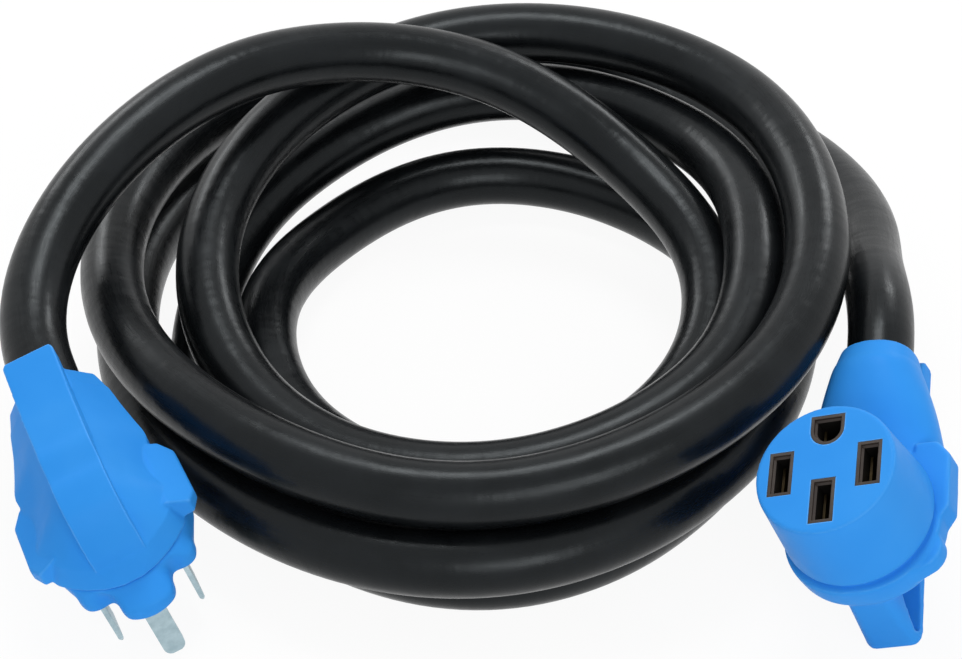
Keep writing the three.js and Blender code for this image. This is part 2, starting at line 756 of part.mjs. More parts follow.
function connectorBody() {
  const c = connector;
  const opening = fingerOpening();
  const grip = sideProfile(handleProfile(), handle.width, handle.edge);
  const outside = cut(join(connectorOutside(), grip), opening);
  const blockEnd = c.faceThickness + c.blockDepth;
  const bore = cable.diameter / 2 + clearance;
  const around = { half: bore, low: c.axisHeight - bore, high: c.axisHeight + bore };
  const hollow = [
    upright(c.blockRadius + clearance, c.blockRadius + clearance, c.faceThickness, blockEnd + 4, 40),
    stack(c.hollow.map(([z, half, front, back]) => ({ z, half, front, back }))),
    loftAlongY([
      { ...around, y: -c.jacketEnd - 0.5, power: 2 },
      ...c.throat.map(([y, half, low, high]) => ({ y, half, low, high, power: 2.6 })),
    ]),
    rodAlongY(bore, 0, c.axisHeight, -c.mouthReach - 5, -c.jacketEnd, 24),
    ...sockets.map(at => plate(slotOutline(at, c.frameEdge + clearance), -1, c.faceThickness + 2)),
  ];
  return toGeometry(cut(outside, ...hollow));
}

// The dark block that holds the contacts, with a rim round each slot that shows in the face.
function contactBlock() {
  const c = connector;
  const blockStart = c.faceThickness + clearance;
  let made = upright(c.blockRadius, c.blockRadius, blockStart, c.faceThickness + c.blockDepth, 40);
  for (const at of sockets) {
    made = join(made, plate(slotOutline(at, c.frameEdge), 0, blockStart + 1));
  }
  for (const at of sockets) {
    made = cut(made, plate(slotOutline(at, 0), -1, c.faceThickness + c.blockDepth + 1));
  }
  return toGeometry(made);
}

// A folded spring contact: two leaves joined at the back, a post and the crimp barrel on it.
function socketContact(at) {
  const c = connector;
  const isGround = at.name === 'ground';
  const length = isGround ? c.groundSlot / 2 : c.slotLength - 2 * clearance;
  const half = (isGround ? c.groundSlot / 2 - 0.6 : c.slotWidth / 2 - clearance);
  const middle = isGround ? at.y - c.groundSlot / 6 : at.y;
  const near = middle - length / 2;
  const far = middle + length / 2;
  const back = c.faceThickness + c.blockDepth;
  const [crimpFar, height] = c.crimps[at.name];
  const postNear = Math.min(far, crimpFar + 4) - 5;
  return toGeometry(join(
    block([at.x - half, near, c.contactSetback], [at.x - half + c.contactGauge, far, back]),
    block([at.x + half - c.contactGauge, near, c.contactSetback], [at.x + half, far, back]),
    block([at.x - half, near, back - c.contactGauge], [at.x + half, far, back + 1]),
    block([at.x - 1.5, postNear, back], [at.x + 1.5, postNear + 4, height]),
    rodAlongY(barrel.diameter / 2, at.x, height, crimpFar - barrel.length, crimpFar, barrel.sides)));
}

function connectorCore(at) {
  const c = connector;
  const diameter = at.name === 'ground' ? core.groundDiameter : core.hotDiameter;
  const [crimpFar, height] = c.crimps[at.name];
  const from = new THREE.Vector3(at.x, crimpFar - barrel.length - clearance, height);
  const to = new THREE.Vector3(at.core[0], -c.jacketEnd + clearance, c.axisHeight + at.core[1]);
  return coreLead(from, to, diameter);
}

function makeConnector() {
  const group = new THREE.Group();
  group.add(piece('connector_body', connectorBody(), material.blue));
  group.add(piece('connector_contact_block', contactBlock(), material.dark));
  for (const at of sockets) {
    group.add(piece(`connector_${at.name}_contact`, socketContact(at), material.brass));
    group.add(piece(`connector_${at.name}_core`, connectorCore(at), material[at.colour]));
  }
  return group;
}

// ---------- assembly ----------

// Turns an end to its lie and sets it down, so that its lowest point touches the surface.
function lay(group, at, { yaw, pitch, roll }) {
  const { degToRad } = THREE.MathUtils;
  group.rotation.set(degToRad(pitch), degToRad(roll), degToRad(yaw), 'ZXY');
  group.position.set(at[0], at[1], 0);
  group.updateMatrixWorld(true);
  group.position.z = -new THREE.Box3().setFromObject(group, true).min.z;
  group.updateMatrixWorld(true);
}

// The point inside an end where the cable's jacket stops, and the way out from it.
function cableEntry(group, end) {
  const point = new THREE.Vector3(0, -end.jacketEnd, end.axisHeight).applyMatrix4(group.matrixWorld);
  const mouth = new THREE.Vector3(0, -end.mouthReach, end.axisHeight).applyMatrix4(group.matrixWorld);
  return { point, mouth, way: mouth.clone().sub(point).normalize() };
}

const plugEnd = makePlug();
lay(plugEnd, layout.plugAt, layout.plugTurn);
const connectorEnd = makeConnector();
lay(connectorEnd, layout.connectorAt, layout.connectorTurn);

const route = coilRoute();
const last = route.length - 1;
const coilStartWay = route[0].clone().sub(route[1]).normalize();
const coilEndWay = route[last].clone().sub(route[last - 1]).normalize();
const plugEntry = cableEntry(plugEnd, plug);
const connectorEntry = cableEntry(connectorEnd, connector);
const plugLead = cableLead(plugEntry, route[0], coilStartWay);
const connectorLead = cableLead(connectorEntry, route[last], coilEndWay);

let coilLength = 0;
for (let i = 0; i < last; i += 1) coilLength += route[i].distanceTo(route[i + 1]);
const cableLength = coilLength + plugLead.length + connectorLead.length;
console.log(`least gap of the cable to itself ${leastGap(route, cable.diameter).toFixed(2)} mm`);
console.log(`cable length ${cableLength.toFixed(0)} mm`);

const cord = new THREE.Group();
cord.add(plugEnd);
cord.add(connectorEnd);
cord.add(piece('cable_coil', cableCoil(route), material.jacket));
cord.add(piece('cable_lead_plug', plugLead.geometry, material.jacket));
cord.add(piece('cable_lead_connector', connectorLead.geometry, material.jacket));

export default cord;
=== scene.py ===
# Looks of the shore power cord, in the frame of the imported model. The scene is in metres, +Z up.
# The two ends are shaped in millimetres in their own frames, and then laid where the model has them.
import math
import bmesh
import bpy
from mathutils import Matrix, Vector


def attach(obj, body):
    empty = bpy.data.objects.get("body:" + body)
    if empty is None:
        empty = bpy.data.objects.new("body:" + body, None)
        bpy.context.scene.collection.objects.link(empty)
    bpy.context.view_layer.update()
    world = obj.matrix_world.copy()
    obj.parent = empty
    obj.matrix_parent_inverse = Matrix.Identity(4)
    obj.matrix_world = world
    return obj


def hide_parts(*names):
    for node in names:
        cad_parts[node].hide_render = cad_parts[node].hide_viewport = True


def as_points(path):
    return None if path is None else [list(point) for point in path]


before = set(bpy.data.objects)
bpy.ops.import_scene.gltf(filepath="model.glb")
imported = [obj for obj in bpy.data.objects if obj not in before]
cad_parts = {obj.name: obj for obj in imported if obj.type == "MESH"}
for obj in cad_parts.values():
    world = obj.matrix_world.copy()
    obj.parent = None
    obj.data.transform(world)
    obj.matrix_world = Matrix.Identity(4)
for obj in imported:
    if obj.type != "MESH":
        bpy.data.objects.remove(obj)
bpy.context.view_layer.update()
mm = 0.001

cameraSettings = {"lookAt": (0.00055, 0.1301, 0.0), "elevation": 40.0, "distance": 1.058, "lens": 97.97}


def makeCamera(s):
    lens = bpy.data.cameras.new("camera")
    lens.lens = s["lens"]
    lens.sensor_width = 36
    lens.sensor_fit = "HORIZONTAL"
    lens.clip_start = 0.01
    lens.clip_end = 20
    camera = bpy.data.objects.new("camera", lens)
    bpy.context.collection.objects.link(camera)
    tilt = math.radians(s["elevation"])
    camera.location = Vector(s["lookAt"]) + Vector((0, -math.cos(tilt), math.sin(tilt))) * s["distance"]
    camera.rotation_euler = (math.pi / 2 - tilt, 0, 0)
    bpy.context.scene.camera = camera


makeCamera(cameraSettings)
print("camera made")

# Where each end lies: the middle of its mating face in millimetres, and its turns in degrees. In an end's
# own frame Z runs from the mating face into the body, and -Y is the way the cable leaves.
plugLie = {"at": (-119.15, -34.7, 26.502), "yaw": -156.4, "pitch": -4.5, "roll": 16.0}
connectorLie = {"at": (116.45, -33.1, 75.812), "yaw": 171.5, "pitch": -16.3, "roll": -154.9}


def lieMatrix(s):
    turn = (Matrix.Rotation(math.radians(s["yaw"]), 4, "Z") @ Matrix.Rotation(math.radians(s["pitch"]), 4, "X")
            @ Matrix.Rotation(math.radians(s["roll"]), 4, "Y"))
    return Matrix.Translation(Vector(s["at"]) * mm) @ turn @ Matrix.Scale(mm, 4)


plugToScene = lieMatrix(plugLie)
connectorToScene = lieMatrix(connectorLie)


def newMaterial(name):
    material = bpy.data.materials.new(name)
    material.use_nodes = True
    return material, material.node_tree.nodes, material.node_tree.links


def noiseOf(nodes, links, vector, scale, detail=4.0, roughness=0.5):
    noise = nodes.new("ShaderNodeTexNoise")
    noise.inputs["Scale"].default_value = scale
    noise.inputs["Detail"].default_value = detail
    noise.inputs["Roughness"].default_value = roughness
    links.new(vector, noise.inputs["Vector"])
    return noise.outputs["Fac"]


def rampOf(nodes, links, value, stops):
    ramp = nodes.new("ShaderNodeValToRGB")
    band = ramp.color_ramp
    band.elements[0].position, band.elements[0].color = stops[0]
    band.elements[1].position, band.elements[1].color = stops[-1]
    for place, color in stops[1:-1]:
        band.elements.new(place).color = color
    links.new(value, ramp.inputs["Fac"])
    return ramp.outputs["Color"]


def rangeOf(nodes, links, value, low, high, fromLow=0.0, fromHigh=1.0):
    spread = nodes.new("ShaderNodeMapRange")
    spread.inputs["From Min"].default_value = fromLow
    spread.inputs["From Max"].default_value = fromHigh
    spread.inputs["To Min"].default_value = low
    spread.inputs["To Max"].default_value = high
    links.new(value, spread.inputs["Value"])
    return spread.outputs["Result"]


def bumpOf(nodes, links, height, strength, distance, below=None):
    bump = nodes.new("ShaderNodeBump")
    bump.inputs["Strength"].default_value = strength
    bump.inputs["Distance"].default_value = distance
    links.new(height, bump.inputs["Height"])
    if below is not None:
        links.new(below, bump.inputs["Normal"])
    return bump.outputs["Normal"]


def mixedOf(nodes, links, share, color, tint):
    mix = nodes.new("ShaderNodeMix")
    mix.data_type = "RGBA"
    mix.inputs["B"].default_value = tint
    links.new(share, mix.inputs["Factor"])
    links.new(color, mix.inputs["A"])
    return mix.outputs["Result"]


def mappedOf(nodes, links, vector, scale):
    mapping = nodes.new("ShaderNodeMapping")
    mapping.inputs["Scale"].default_value = scale
    links.new(vector, mapping.inputs["Vector"])
    return mapping.outputs["Vector"]


def mouldedPlastic(name, s):
    # A moulded plastic: faint clouding of its colour, a fine grain, flow ripples and a few rubbed spots.
    material, nodes, links = newMaterial(name)
    shader = nodes["Principled BSDF"]
    shader.inputs["Specular IOR Level"].default_value = s["specular"]
    where = nodes.new("ShaderNodeTexCoord").outputs["Object"]
    cloud = noiseOf(nodes, links, where, s["cloudScale"], 3.0)
    color = rampOf(nodes, links, cloud, [(0.3, s["deep"]), (0.52, s["color"]), (0.75, s["pale"])])
    # Where the edge tints are given, convex edges are painted paler as a painted highlight, and hollows are painted
    # darker as painted shade.
    if "paintedEdgeHighlight" in s:
        standsOut = nodes.new("ShaderNodeAttribute")
        standsOut.attribute_name = "edge"
        for tint, low, high, most in ((s["paintedEdgeHighlight"], 0.06, 0.22, 0.75), (s["corner"], -0.07, -0.24, 0.5)):
            share = rangeOf(nodes, links, standsOut.outputs["Fac"], 0.0, most, low, high)
            color = mixedOf(nodes, links, share, color, tint)
    links.new(color, shader.inputs["Base Color"])
    rub = noiseOf(nodes, links, where, s["rubScale"], 6.0, 0.62)
    links.new(rangeOf(nodes, links, rub, s["roughness"] - 0.06, s["roughness"] + 0.08, 0.35, 0.7),
              shader.inputs["Roughness"])
    grain = noiseOf(nodes, links, where, s["grainScale"], 2.0)
    ripple = noiseOf(nodes, links, where, s["cloudScale"] * 2.5, 2.0)
    low = bumpOf(nodes, links, ripple, 0.25, s["ripple"])
    links.new(bumpOf(nodes, links, grain, s["grain"], 0.00006, low), shader.inputs["Normal"])
    return material


bluePlastic = mouldedPlastic("blue plastic", {
    "color": (0.034, 0.284, 0.79, 1), "deep": (0.029, 0.266, 0.765, 1), "pale": (0.044, 0.306, 0.81, 1),
    # a paler painted highlight along edges, and a darker painted shade in creases
    "paintedEdgeHighlight": (0.13, 0.42, 0.90, 1), "corner": (0.010, 0.16, 0.62, 1),
    "roughness": 0.42, "specular": 0.05, "cloudScale": 26, "rubScale": 90, "grainScale": 2600,
    "ripple": 0.0009, "grain": 0.22})
darkPlastic = mouldedPlastic("dark plastic", {
    "color": (0.040, 0.030, 0.025, 1), "deep": (0.030, 0.022, 0.019, 1), "pale": (0.054, 0.043, 0.036, 1),
    "roughness": 0.45, "specular": 0.3, "cloudScale": 120, "rubScale": 300, "grainScale": 3000,
    "ripple": 0.0004, "grain": 0.3})
# A near-black copy of the dark plastic, painted shade for the deep walls of the slots.
slotShadePlastic = mouldedPlastic("slot shade plastic", {
    "color": (0.007, 0.006, 0.0055, 1), "deep": (0.005, 0.0045, 0.004, 1), "pale": (0.010, 0.009, 0.008, 1),
    "roughness": 0.55, "specular": 0.2, "cloudScale": 120, "rubScale": 300, "grainScale": 3000,
    "ripple": 0.0004, "grain": 0.3})


def jacketMaterial(s):
    # The cable's jacket: satin black, drawn lengthwise, with fine scuffs and a dusty bloom in places.
    material, nodes, links = newMaterial("jacket")
    shader = nodes["Principled BSDF"]
    shader.inputs["Specular IOR Level"].default_value = s["specular"]
    shader.inputs["Specular Tint"].default_value = s["tint"]
    along = nodes.new("ShaderNodeUVMap")
    along.uv_map = "lengthwise"
    place = along.outputs["UV"]
    where = nodes.new("ShaderNodeTexCoord").outputs["Object"]
    drawn = noiseOf(nodes, links, mappedOf(nodes, links, place, s["drawnScale"]), 1.0, 5.0, 0.6)
    bloom = noiseOf(nodes, links, where, s["bloomScale"], 4.0, 0.6)
    color = nodes.new("ShaderNodeMix")
    color.data_type = "RGBA"
    color.inputs["A"].default_value = s["color"]
    color.inputs["B"].default_value = s["bloom"]
    links.new(rangeOf(nodes, links, bloom, 0.0, 1.0, 0.42, 0.78), color.inputs["Factor"])
    links.new(color.outputs["Result"], shader.inputs["Base Color"])
    rough = nodes.new("ShaderNodeMath")
    rough.operation = "ADD"
    links.new(rangeOf(nodes, links, drawn, s["roughness"] - 0.05, s["roughness"] + 0.07, 0.3, 0.7), rough.inputs[0])
    links.new(rangeOf(nodes, links, bloom, -0.03, 0.05, 0.35, 0.7), rough.inputs[1])
    links.new(rough.outputs["Value"], shader.inputs["Roughness"])
    wave = noiseOf(nodes, links, mappedOf(nodes, links, place, s["waveScale"]), 1.0, 2.0)
    scuff = noiseOf(nodes, links, mappedOf(nodes, links, place, s["scuffScale"]), 1.0, 6.0, 0.7)
    grain = noiseOf(nodes, links, where, s["grainScale"], 2.0)
    low = bumpOf(nodes, links, wave, 0.35, 0.0008)
    middle = bumpOf(nodes, links, scuff, 0.18, 0.00012, low)
    links.new(bumpOf(nodes, links, grain, 0.12, 0.00008, middle), shader.inputs["Normal"])
    return material


# The scales that have three parts stretch a pattern round the cable and along it.
jacket = jacketMaterial({
    "color": (0.0030, 0.0036, 0.0042, 1), "bloom": (0.0068, 0.0080, 0.0092, 1), "roughness": 0.27,
    "specular": 0.21, "tint": (0.90, 0.97, 1.0, 1), "bloomScale": 34, "grainScale": 1500,
    "drawnScale": (60, 5, 1), "waveScale": (4, 9, 1), "scuffScale": (240, 16, 1)})


def metalMaterial(name, color, dull, roughness, scale):
    # Stamped metal: brushed along its length, and duller where it has been handled.
    material, nodes, links = newMaterial(name)
    shader = nodes["Principled BSDF"]
    shader.inputs["Metallic"].default_value = 0.85
    where = nodes.new("ShaderNodeTexCoord").outputs["Object"]
    tarnish = noiseOf(nodes, links, where, scale, 5.0, 0.6)
    links.new(rampOf(nodes, links, tarnish, [(0.35, dull), (0.7, color)]), shader.inputs["Base Color"])
    brushed = noiseOf(nodes, links, mappedOf(nodes, links, where, (900, 900, 90)), 1.0, 3.0)
    links.new(rangeOf(nodes, links, brushed, roughness - 0.07, roughness + 0.1, 0.3, 0.7),
              shader.inputs["Roughness"])
    links.new(bumpOf(nodes, links, brushed, 0.15, 0.00004), shader.inputs["Normal"])
    return material


platedMetal = metalMaterial("plated metal", (0.50, 0.63, 0.68, 1), (0.34, 0.46, 0.51, 1), 0.42, 160)
# The brass is darkened far below its real colour, as painted shade on the contacts deep in their wells.
brass = metalMaterial("brass", (0.065, 0.046, 0.020, 1), (0.034, 0.024, 0.011, 1), 0.42, 220)


def insulationMaterial(name, color):
    material, nodes, links = newMaterial(name)
    shader = nodes["Principled BSDF"]
    where = nodes.new("ShaderNodeTexCoord").outputs["Object"]
    cloud = noiseOf(nodes, links, where, 300, 3.0)
    deep = tuple(0.8 * part for part in color) + (1,)
    links.new(rampOf(nodes, links, cloud, [(0.35, deep), (0.65, color + (1,))]), shader.inputs["Base Color"])
    links.new(rangeOf(nodes, links, cloud, 0.42, 0.58), shader.inputs["Roughness"])
    links.new(bumpOf(nodes, links, cloud, 0.2, 0.00008), shader.inputs["Normal"])
    return material


insulation = {
    "hot_left": insulationMaterial("black insulation", (0.012, 0.012, 0.013)),
    "hot_right": insulationMaterial("red insulation", (0.38, 0.025, 0.018)),
    "neutral": insulationMaterial("white insulation", (0.68, 0.68, 0.65)),
    "ground": insulationMaterial("green insulation", (0.026, 0.19, 0.045)),
}
print("materials made")


def through(values, place):
    # A smooth value through a list of stations, at a place between them.
    i = min(max(math.floor(place), 0), len(values) - 2)
    f = place - i
    here, ahead = values[i], values[i + 1]
    before = values[i - 1] if i > 0 else 2 * here - ahead
    after = values[i + 2] if i + 2 < len(values) else 2 * ahead - here
    return 0.5 * (2 * here + (ahead - before) * f + (2 * before - 5 * here + 4 * ahead - after) * f * f
                  + (3 * here - before - 3 * ahead + after) * f * f * f)


def newRing(bm, edges):
    # Extrudes an open rim, and gives the new points and the new rim.
    made = bmesh.ops.extrude_edge_only(bm, edges=edges)["geom"]
    ring = [part for part in made if isinstance(part, bmesh.types.BMVert)]
    known = set(ring)
    far = [part for part in made if isinstance(part, bmesh.types.BMEdge) and set(part.verts) <= known]
    return ring, far


def loft(rows, pointAt, sides=120, fine=8):
    # A closed skin through the rows of a table, each drawn as a ring by pointAt(row, angle).
    bm = bmesh.new()
    turn = bm.verts.layers.float.new("turn")
    ring = bmesh.ops.create_circle(bm, segments=sides, radius=1)["verts"]
    for vert in ring:
        vert[turn] = math.atan2(vert.co.y, vert.co.x)
    edges = list(bm.edges)
    for number in range((len(rows) - 1) * fine + 1):
        row = [through(column, number / fine) for column in zip(*rows)]
        if number:
            ring, edges = newRing(bm, edges)
        for vert in ring:
            vert.co = pointAt(row, vert[turn])
    bmesh.ops.holes_fill(bm, edges=bm.edges, sides=0)
    bmesh.ops.recalc_face_normals(bm, faces=bm.faces)
    return bm


def rounded(value, power):
    # A power of 2 draws an ellipse, and a higher one is squarer.
    return math.copysign(abs(value) ** (2 / power), value)


def upright(power, middle=0.0):
    # Rows are height, half width, reach in front and reach behind.
    def pointAt(row, angle):
        z, half, front, back = row
        s = math.sin(angle)
        reach = front if s > 0 else back
        return Vector((rounded(math.cos(angle), power) * half, middle + rounded(s, power) * reach, z))
    return pointAt


def lengthwise(power):
    # Rows are station on Y, half width, floor and top.
    def pointAt(row, angle):
        y, half, low, high = row
        return Vector((rounded(math.cos(angle), power) * half, y,
                       (low + high) / 2 + rounded(math.sin(angle), power) * (high - low) / 2))
    return pointAt


def bevelAll(bm, width, segments):
    bmesh.ops.bevel(bm, geom=list(bm.edges), offset=width, offset_type="OFFSET", segments=segments, profile=0.5,
                    affect="EDGES", material=-1, clamp_overlap=True)


def roundCorner(bm, half, end, radius, way, slope=0.0):
    # Cuts both corners of a strap's end to an arc, seen from above. slope is how far the end leans for each mm up.
    for side in (1, -1):
        for turn in (18, 45, 72):
            out = Vector((side * math.cos(math.radians(turn)), way * math.sin(math.radians(turn)), 0))
            at = Vector((side * (half - radius), end - way * radius, 0)) + out * radius
            out.z = -out.y * slope
            bmesh.ops.bisect_plane(bm, geom=bm.verts[:] + bm.edges[:] + bm.faces[:], plane_co=at, plane_no=out,
                                   clear_outer=True)
            bmesh.ops.holes_fill(bm, edges=bm.edges, sides=0)
    bmesh.ops.recalc_face_normals(bm, faces=bm.faces)


def slab(outline, low, high, edge=0.0, axis="Z", segments=3):
    # An outline pushed from low to high. On axis X the outline is drawn as (y, z).
    bm = bmesh.new()
    verts = [bm.verts.new((low, *p) if axis == "X" else (*p, low)) for p in outline]
    face = bm.faces.new(verts)
    made = bmesh.ops.extrude_face_region(bm, geom=[face])["geom"]
    push = Vector((high - low, 0, 0)) if axis == "X" else Vector((0, 0, high - low))
    bmesh.ops.translate(bm, verts=[part for part in made if isinstance(part, bmesh.types.BMVert)], vec=push)
    bmesh.ops.recalc_face_normals(bm, faces=bm.faces)
    if edge:
        bevelAll(bm, edge, segments)
    return bm


def disc(radius, low, high, sides=96):
    bm = bmesh.new()
    bmesh.ops.create_cone(bm, cap_ends=True, segments=sides, radius1=radius, radius2=radius,
                          depth=high - low, matrix=Matrix.Translation((0, 0, (low + high) / 2)))
    return bm


def rod(radius, x, z, near, far, sides=48):
    # A round bar along Y.
    bm = disc(radius, near, far, sides)
    lie = Matrix.Translation((x, 0, z)) @ Matrix.Rotation(-math.pi / 2, 4, "X")
    bmesh.ops.transform(bm, verts=bm.verts, matrix=lie)
    return bm


def turned(profile, sides=160):
    # A profile of (radius, height) points spun about Z.
    bm = bmesh.new()
    verts = [bm.verts.new((r, 0, z)) for r, z in profile]
    edges = [bm.edges.new(pair) for pair in zip(verts, verts[1:])]
    bmesh.ops.spin(bm, geom=verts + edges, cent=(0, 0, 0), axis=(0, 0, 1), angle=2 * math.pi, steps=sides,
                   use_merge=True, use_duplicate=False)
    bmesh.ops.remove_doubles(bm, verts=bm.verts, dist=0.0001)
    bmesh.ops.recalc_face_normals(bm, faces=bm.faces)
    return bm


def mirrored(bm):
    # A copy on the other side of X.
    other = bm.copy()
    bmesh.ops.scale(other, verts=other.verts, vec=(-1, 1, 1))
    bmesh.ops.reverse_faces(other, faces=other.faces)
    return other


def gather(name, parts):
    # One object from several closed parts, which are used up.
    whole = bmesh.new()
    for part in parts:
        scrap = bpy.data.meshes.new("scrap")
        part.to_mesh(scrap)
        part.free()
        whole.from_mesh(scrap)
        bpy.data.meshes.remove(scrap)
    mesh = bpy.data.meshes.new(name)
    whole.to_mesh(mesh)
    whole.free()
    piece = bpy.data.objects.new(name, mesh)
    bpy.context.collection.objects.link(piece)
    return piece


def settle(piece):
    # The mesh with its modifiers worked in.
    graph = bpy.context.evaluated_depsgraph_get()
    mesh = bpy.data.meshes.new_from_object(piece.evaluated_get(graph))
    piece.modifiers.clear()
    old = piece.data
    piece.data = mesh
    mesh.name = piece.name
    bpy.data.meshes.remove(old)


def melt(piece, voxel, rounds):
    # Overlapping parts become one skin with softened corners, as a mould leaves them.
    remesh = piece.modifiers.new("melt", "REMESH")
    remesh.mode = "VOXEL"
    remesh.voxel_size = voxel
    if rounds:
        soften = piece.modifiers.new("soften", "SMOOTH")
        soften.factor = 0.5
        soften.iterations = rounds
    settle(piece)


def combine(piece, parts, operation):
    # Adds closed parts to a piece, or cuts them out of it, one after another.
    for number, part in enumerate(parts):
        tool = gather("tool", [part])
        boolean = piece.modifiers.new(f"tool {number}", "BOOLEAN")
        boolean.operation = operation
        boolean.solver = "MANIFOLD"
        boolean.object = tool
        settle(piece)
        bpy.data.objects.remove(tool)


def markEdges(bm):
    # How far each point stands out from its neighbours, for the painted highlight along edges and the painted shade
    # in creases.
    edge = bm.verts.layers.float.new("edge")
    bm.normal_update()
    raw = {}
    for vert in bm.verts:
        away = Vector()
        for link in vert.link_edges:
            away += (vert.co - link.other_vert(vert).co).normalized()
        raw[vert] = away.dot(vert.normal) / len(vert.link_edges)
    for vert in bm.verts:
        around = sum(raw[link.other_vert(vert)] for link in vert.link_edges) / len(vert.link_edges)
        vert[edge] = 0.5 * raw[vert] + 0.5 * around


def finishPiece(piece, toScene, material, nodes, sharp=50):
    # Cleans a piece, lays it in the scene, gives it its material, hangs it on the root body and hides the model's
    # nodes it stands for.
    bm = bmesh.new()
    bm.from_mesh(piece.data)
    bmesh.ops.dissolve_degenerate(bm, edges=bm.edges, dist=0.0001)
    bmesh.ops.triangulate(bm, faces=[face for face in bm.faces if len(face.verts) > 4])
    markEdges(bm)
    bmesh.ops.transform(bm, verts=bm.verts, matrix=toScene)
    for face in bm.faces:
        face.smooth = True
    for edge in bm.edges:
        edge.smooth = len(edge.link_faces) == 2 and edge.calc_face_angle(0) < math.radians(sharp)
    bm.to_mesh(piece.data)
    bm.free()
    piece.data.materials.clear()
    piece.data.materials.append(material)
    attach(piece, "root")
    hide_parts(*nodes)
    print(piece.name, "made,", len(piece.data.polygons), "faces")


# The coil is wound clockwise seen from above, from the plug to the connector, with eight stations a turn.
# reach is from the coil's middle to the middle of the cable, and rise is its height above a lying turn.
# coreRipple is how far the jacket sinks between the four cores, whose lay is one turn in coreLay.
cableSettings = {
    "length": 4.47, "radius": 12.15, "sides": 40, "stations": 8, "stepsPerTurn": 96, "spacing": 4.5,
    "centre": (0.55, 111.1), "skipped": 0.125, "pull": 0.37, "inside": 15, "bendSteps": 40, "smoothing": 6,
    "coreRipple": 0.09, "coreLay": 210,
    "reach": [107.5, 91, 85.5, 90, 93, 93, 88,
              85, 89, 104, 108, 109, 117, 133, 120,
              110, 116, 121, 114, 105, 112, 110, 106,
              106, 111, 125, 130, 127, 134, 135.2, 135,
              143, 154, 165, 143, 120, 130, 147, 141,
              139, 158, 188, 168, 150],
    "rise": [81, 65, 40, 27.5, 17, 7, 4,
             6, 1, 2, 0, 0, 0, 0, 0,
             1, 14, 33, 42, 50, 42, 28, 24,
             37, 51, 60, 63, 63, 56, 42.2, 42,
             35, 32, 26, 23, 24, 23, 20.8, 16,
             9, 1, 1, 15, 41],
    # Each mouth and the way out of it, in the end's own frame.
    "plugMouth": (0, -71.5, 31.5), "connectorMouth": (0, -70.8, 42),
}


def coilLine(s):
    turns = (len(s["reach"]) - 1) / s["stations"]
    steps = round(turns * s["stepsPerTurn"])
    line = []
    for i in range(steps + 1):
        place = i / s["stepsPerTurn"] * s["stations"]
        angle = math.pi - 2 * math.pi * (s["skipped"] + i / s["stepsPerTurn"])
        out = through(s["reach"], place)
        line.append(Vector((s["centre"][0] + out * math.cos(angle), s["centre"][1] + out * math.sin(angle),
                            s["radius"] + through(s["rise"], place))))
    return line


def leadLine(mouth, way, end, endWay, s):
    # From inside a collar to the coil: straight out, then one smooth bend.
    inner = [mouth - way * s["inside"] * (1 - i / 3) for i in range(3)]
    start = mouth + way * s["radius"] / 2
    pull = (end - start).length * s["pull"]
    a, b = start + way * pull, end + endWay * pull
    bend = []
    for i in range(s["bendSteps"] + 1):
        t = i / s["bendSteps"]
        bend.append(start * (1 - t) ** 3 + a * 3 * t * (1 - t) ** 2 + b * 3 * t * t * (1 - t) + end * t ** 3)
    return inner + [mouth] + bend


def evenly(line, spacing):
    # The same line with its points at equal distances.
    total = sum((b - a).length for a, b in zip(line, line[1:]))
    count = round(total / spacing)
    out, walked, i = [line[0].copy()], 0.0, 0
    for number in range(1, count):
        want = total * number / count
        while walked + (line[i + 1] - line[i]).length < want:
            walked += (line[i + 1] - line[i]).length
            i += 1
        step = line[i + 1] - line[i]
        out.append(line[i] + step * ((want - walked) / step.length))
    out.append(line[-1].copy())
    return out


def cableLine(s):
    coil = coilLine(s)
    mouths = []
    for key, toScene in (("plugMouth", plugToScene), ("connectorMouth", connectorToScene)):
        local = Vector(s[key])
        mouths.append((toScene @ local / mm, (toScene.to_3x3() @ Vector((0, -1, 0))).normalized()))
    (plugMouth, plugWay), (socketMouth, socketWay) = mouths
    first = leadLine(plugMouth, plugWay, coil[0], (coil[0] - coil[1]).normalized(), s)
    last = leadLine(socketMouth, socketWay, coil[-1], (coil[-1] - coil[-2]).normalized(), s)
    line = evenly(first[:-1] + coil + last[-2::-1], s["spacing"])
    for _ in range(s["smoothing"]):
        line = line[:4] + [(a + b * 2 + c) / 4 for a, b, c in zip(line[3:], line[4:-4], line[5:])] + line[-4:]
    for point in line:
        point.z = max(point.z, s["radius"])
    return line, plugMouth


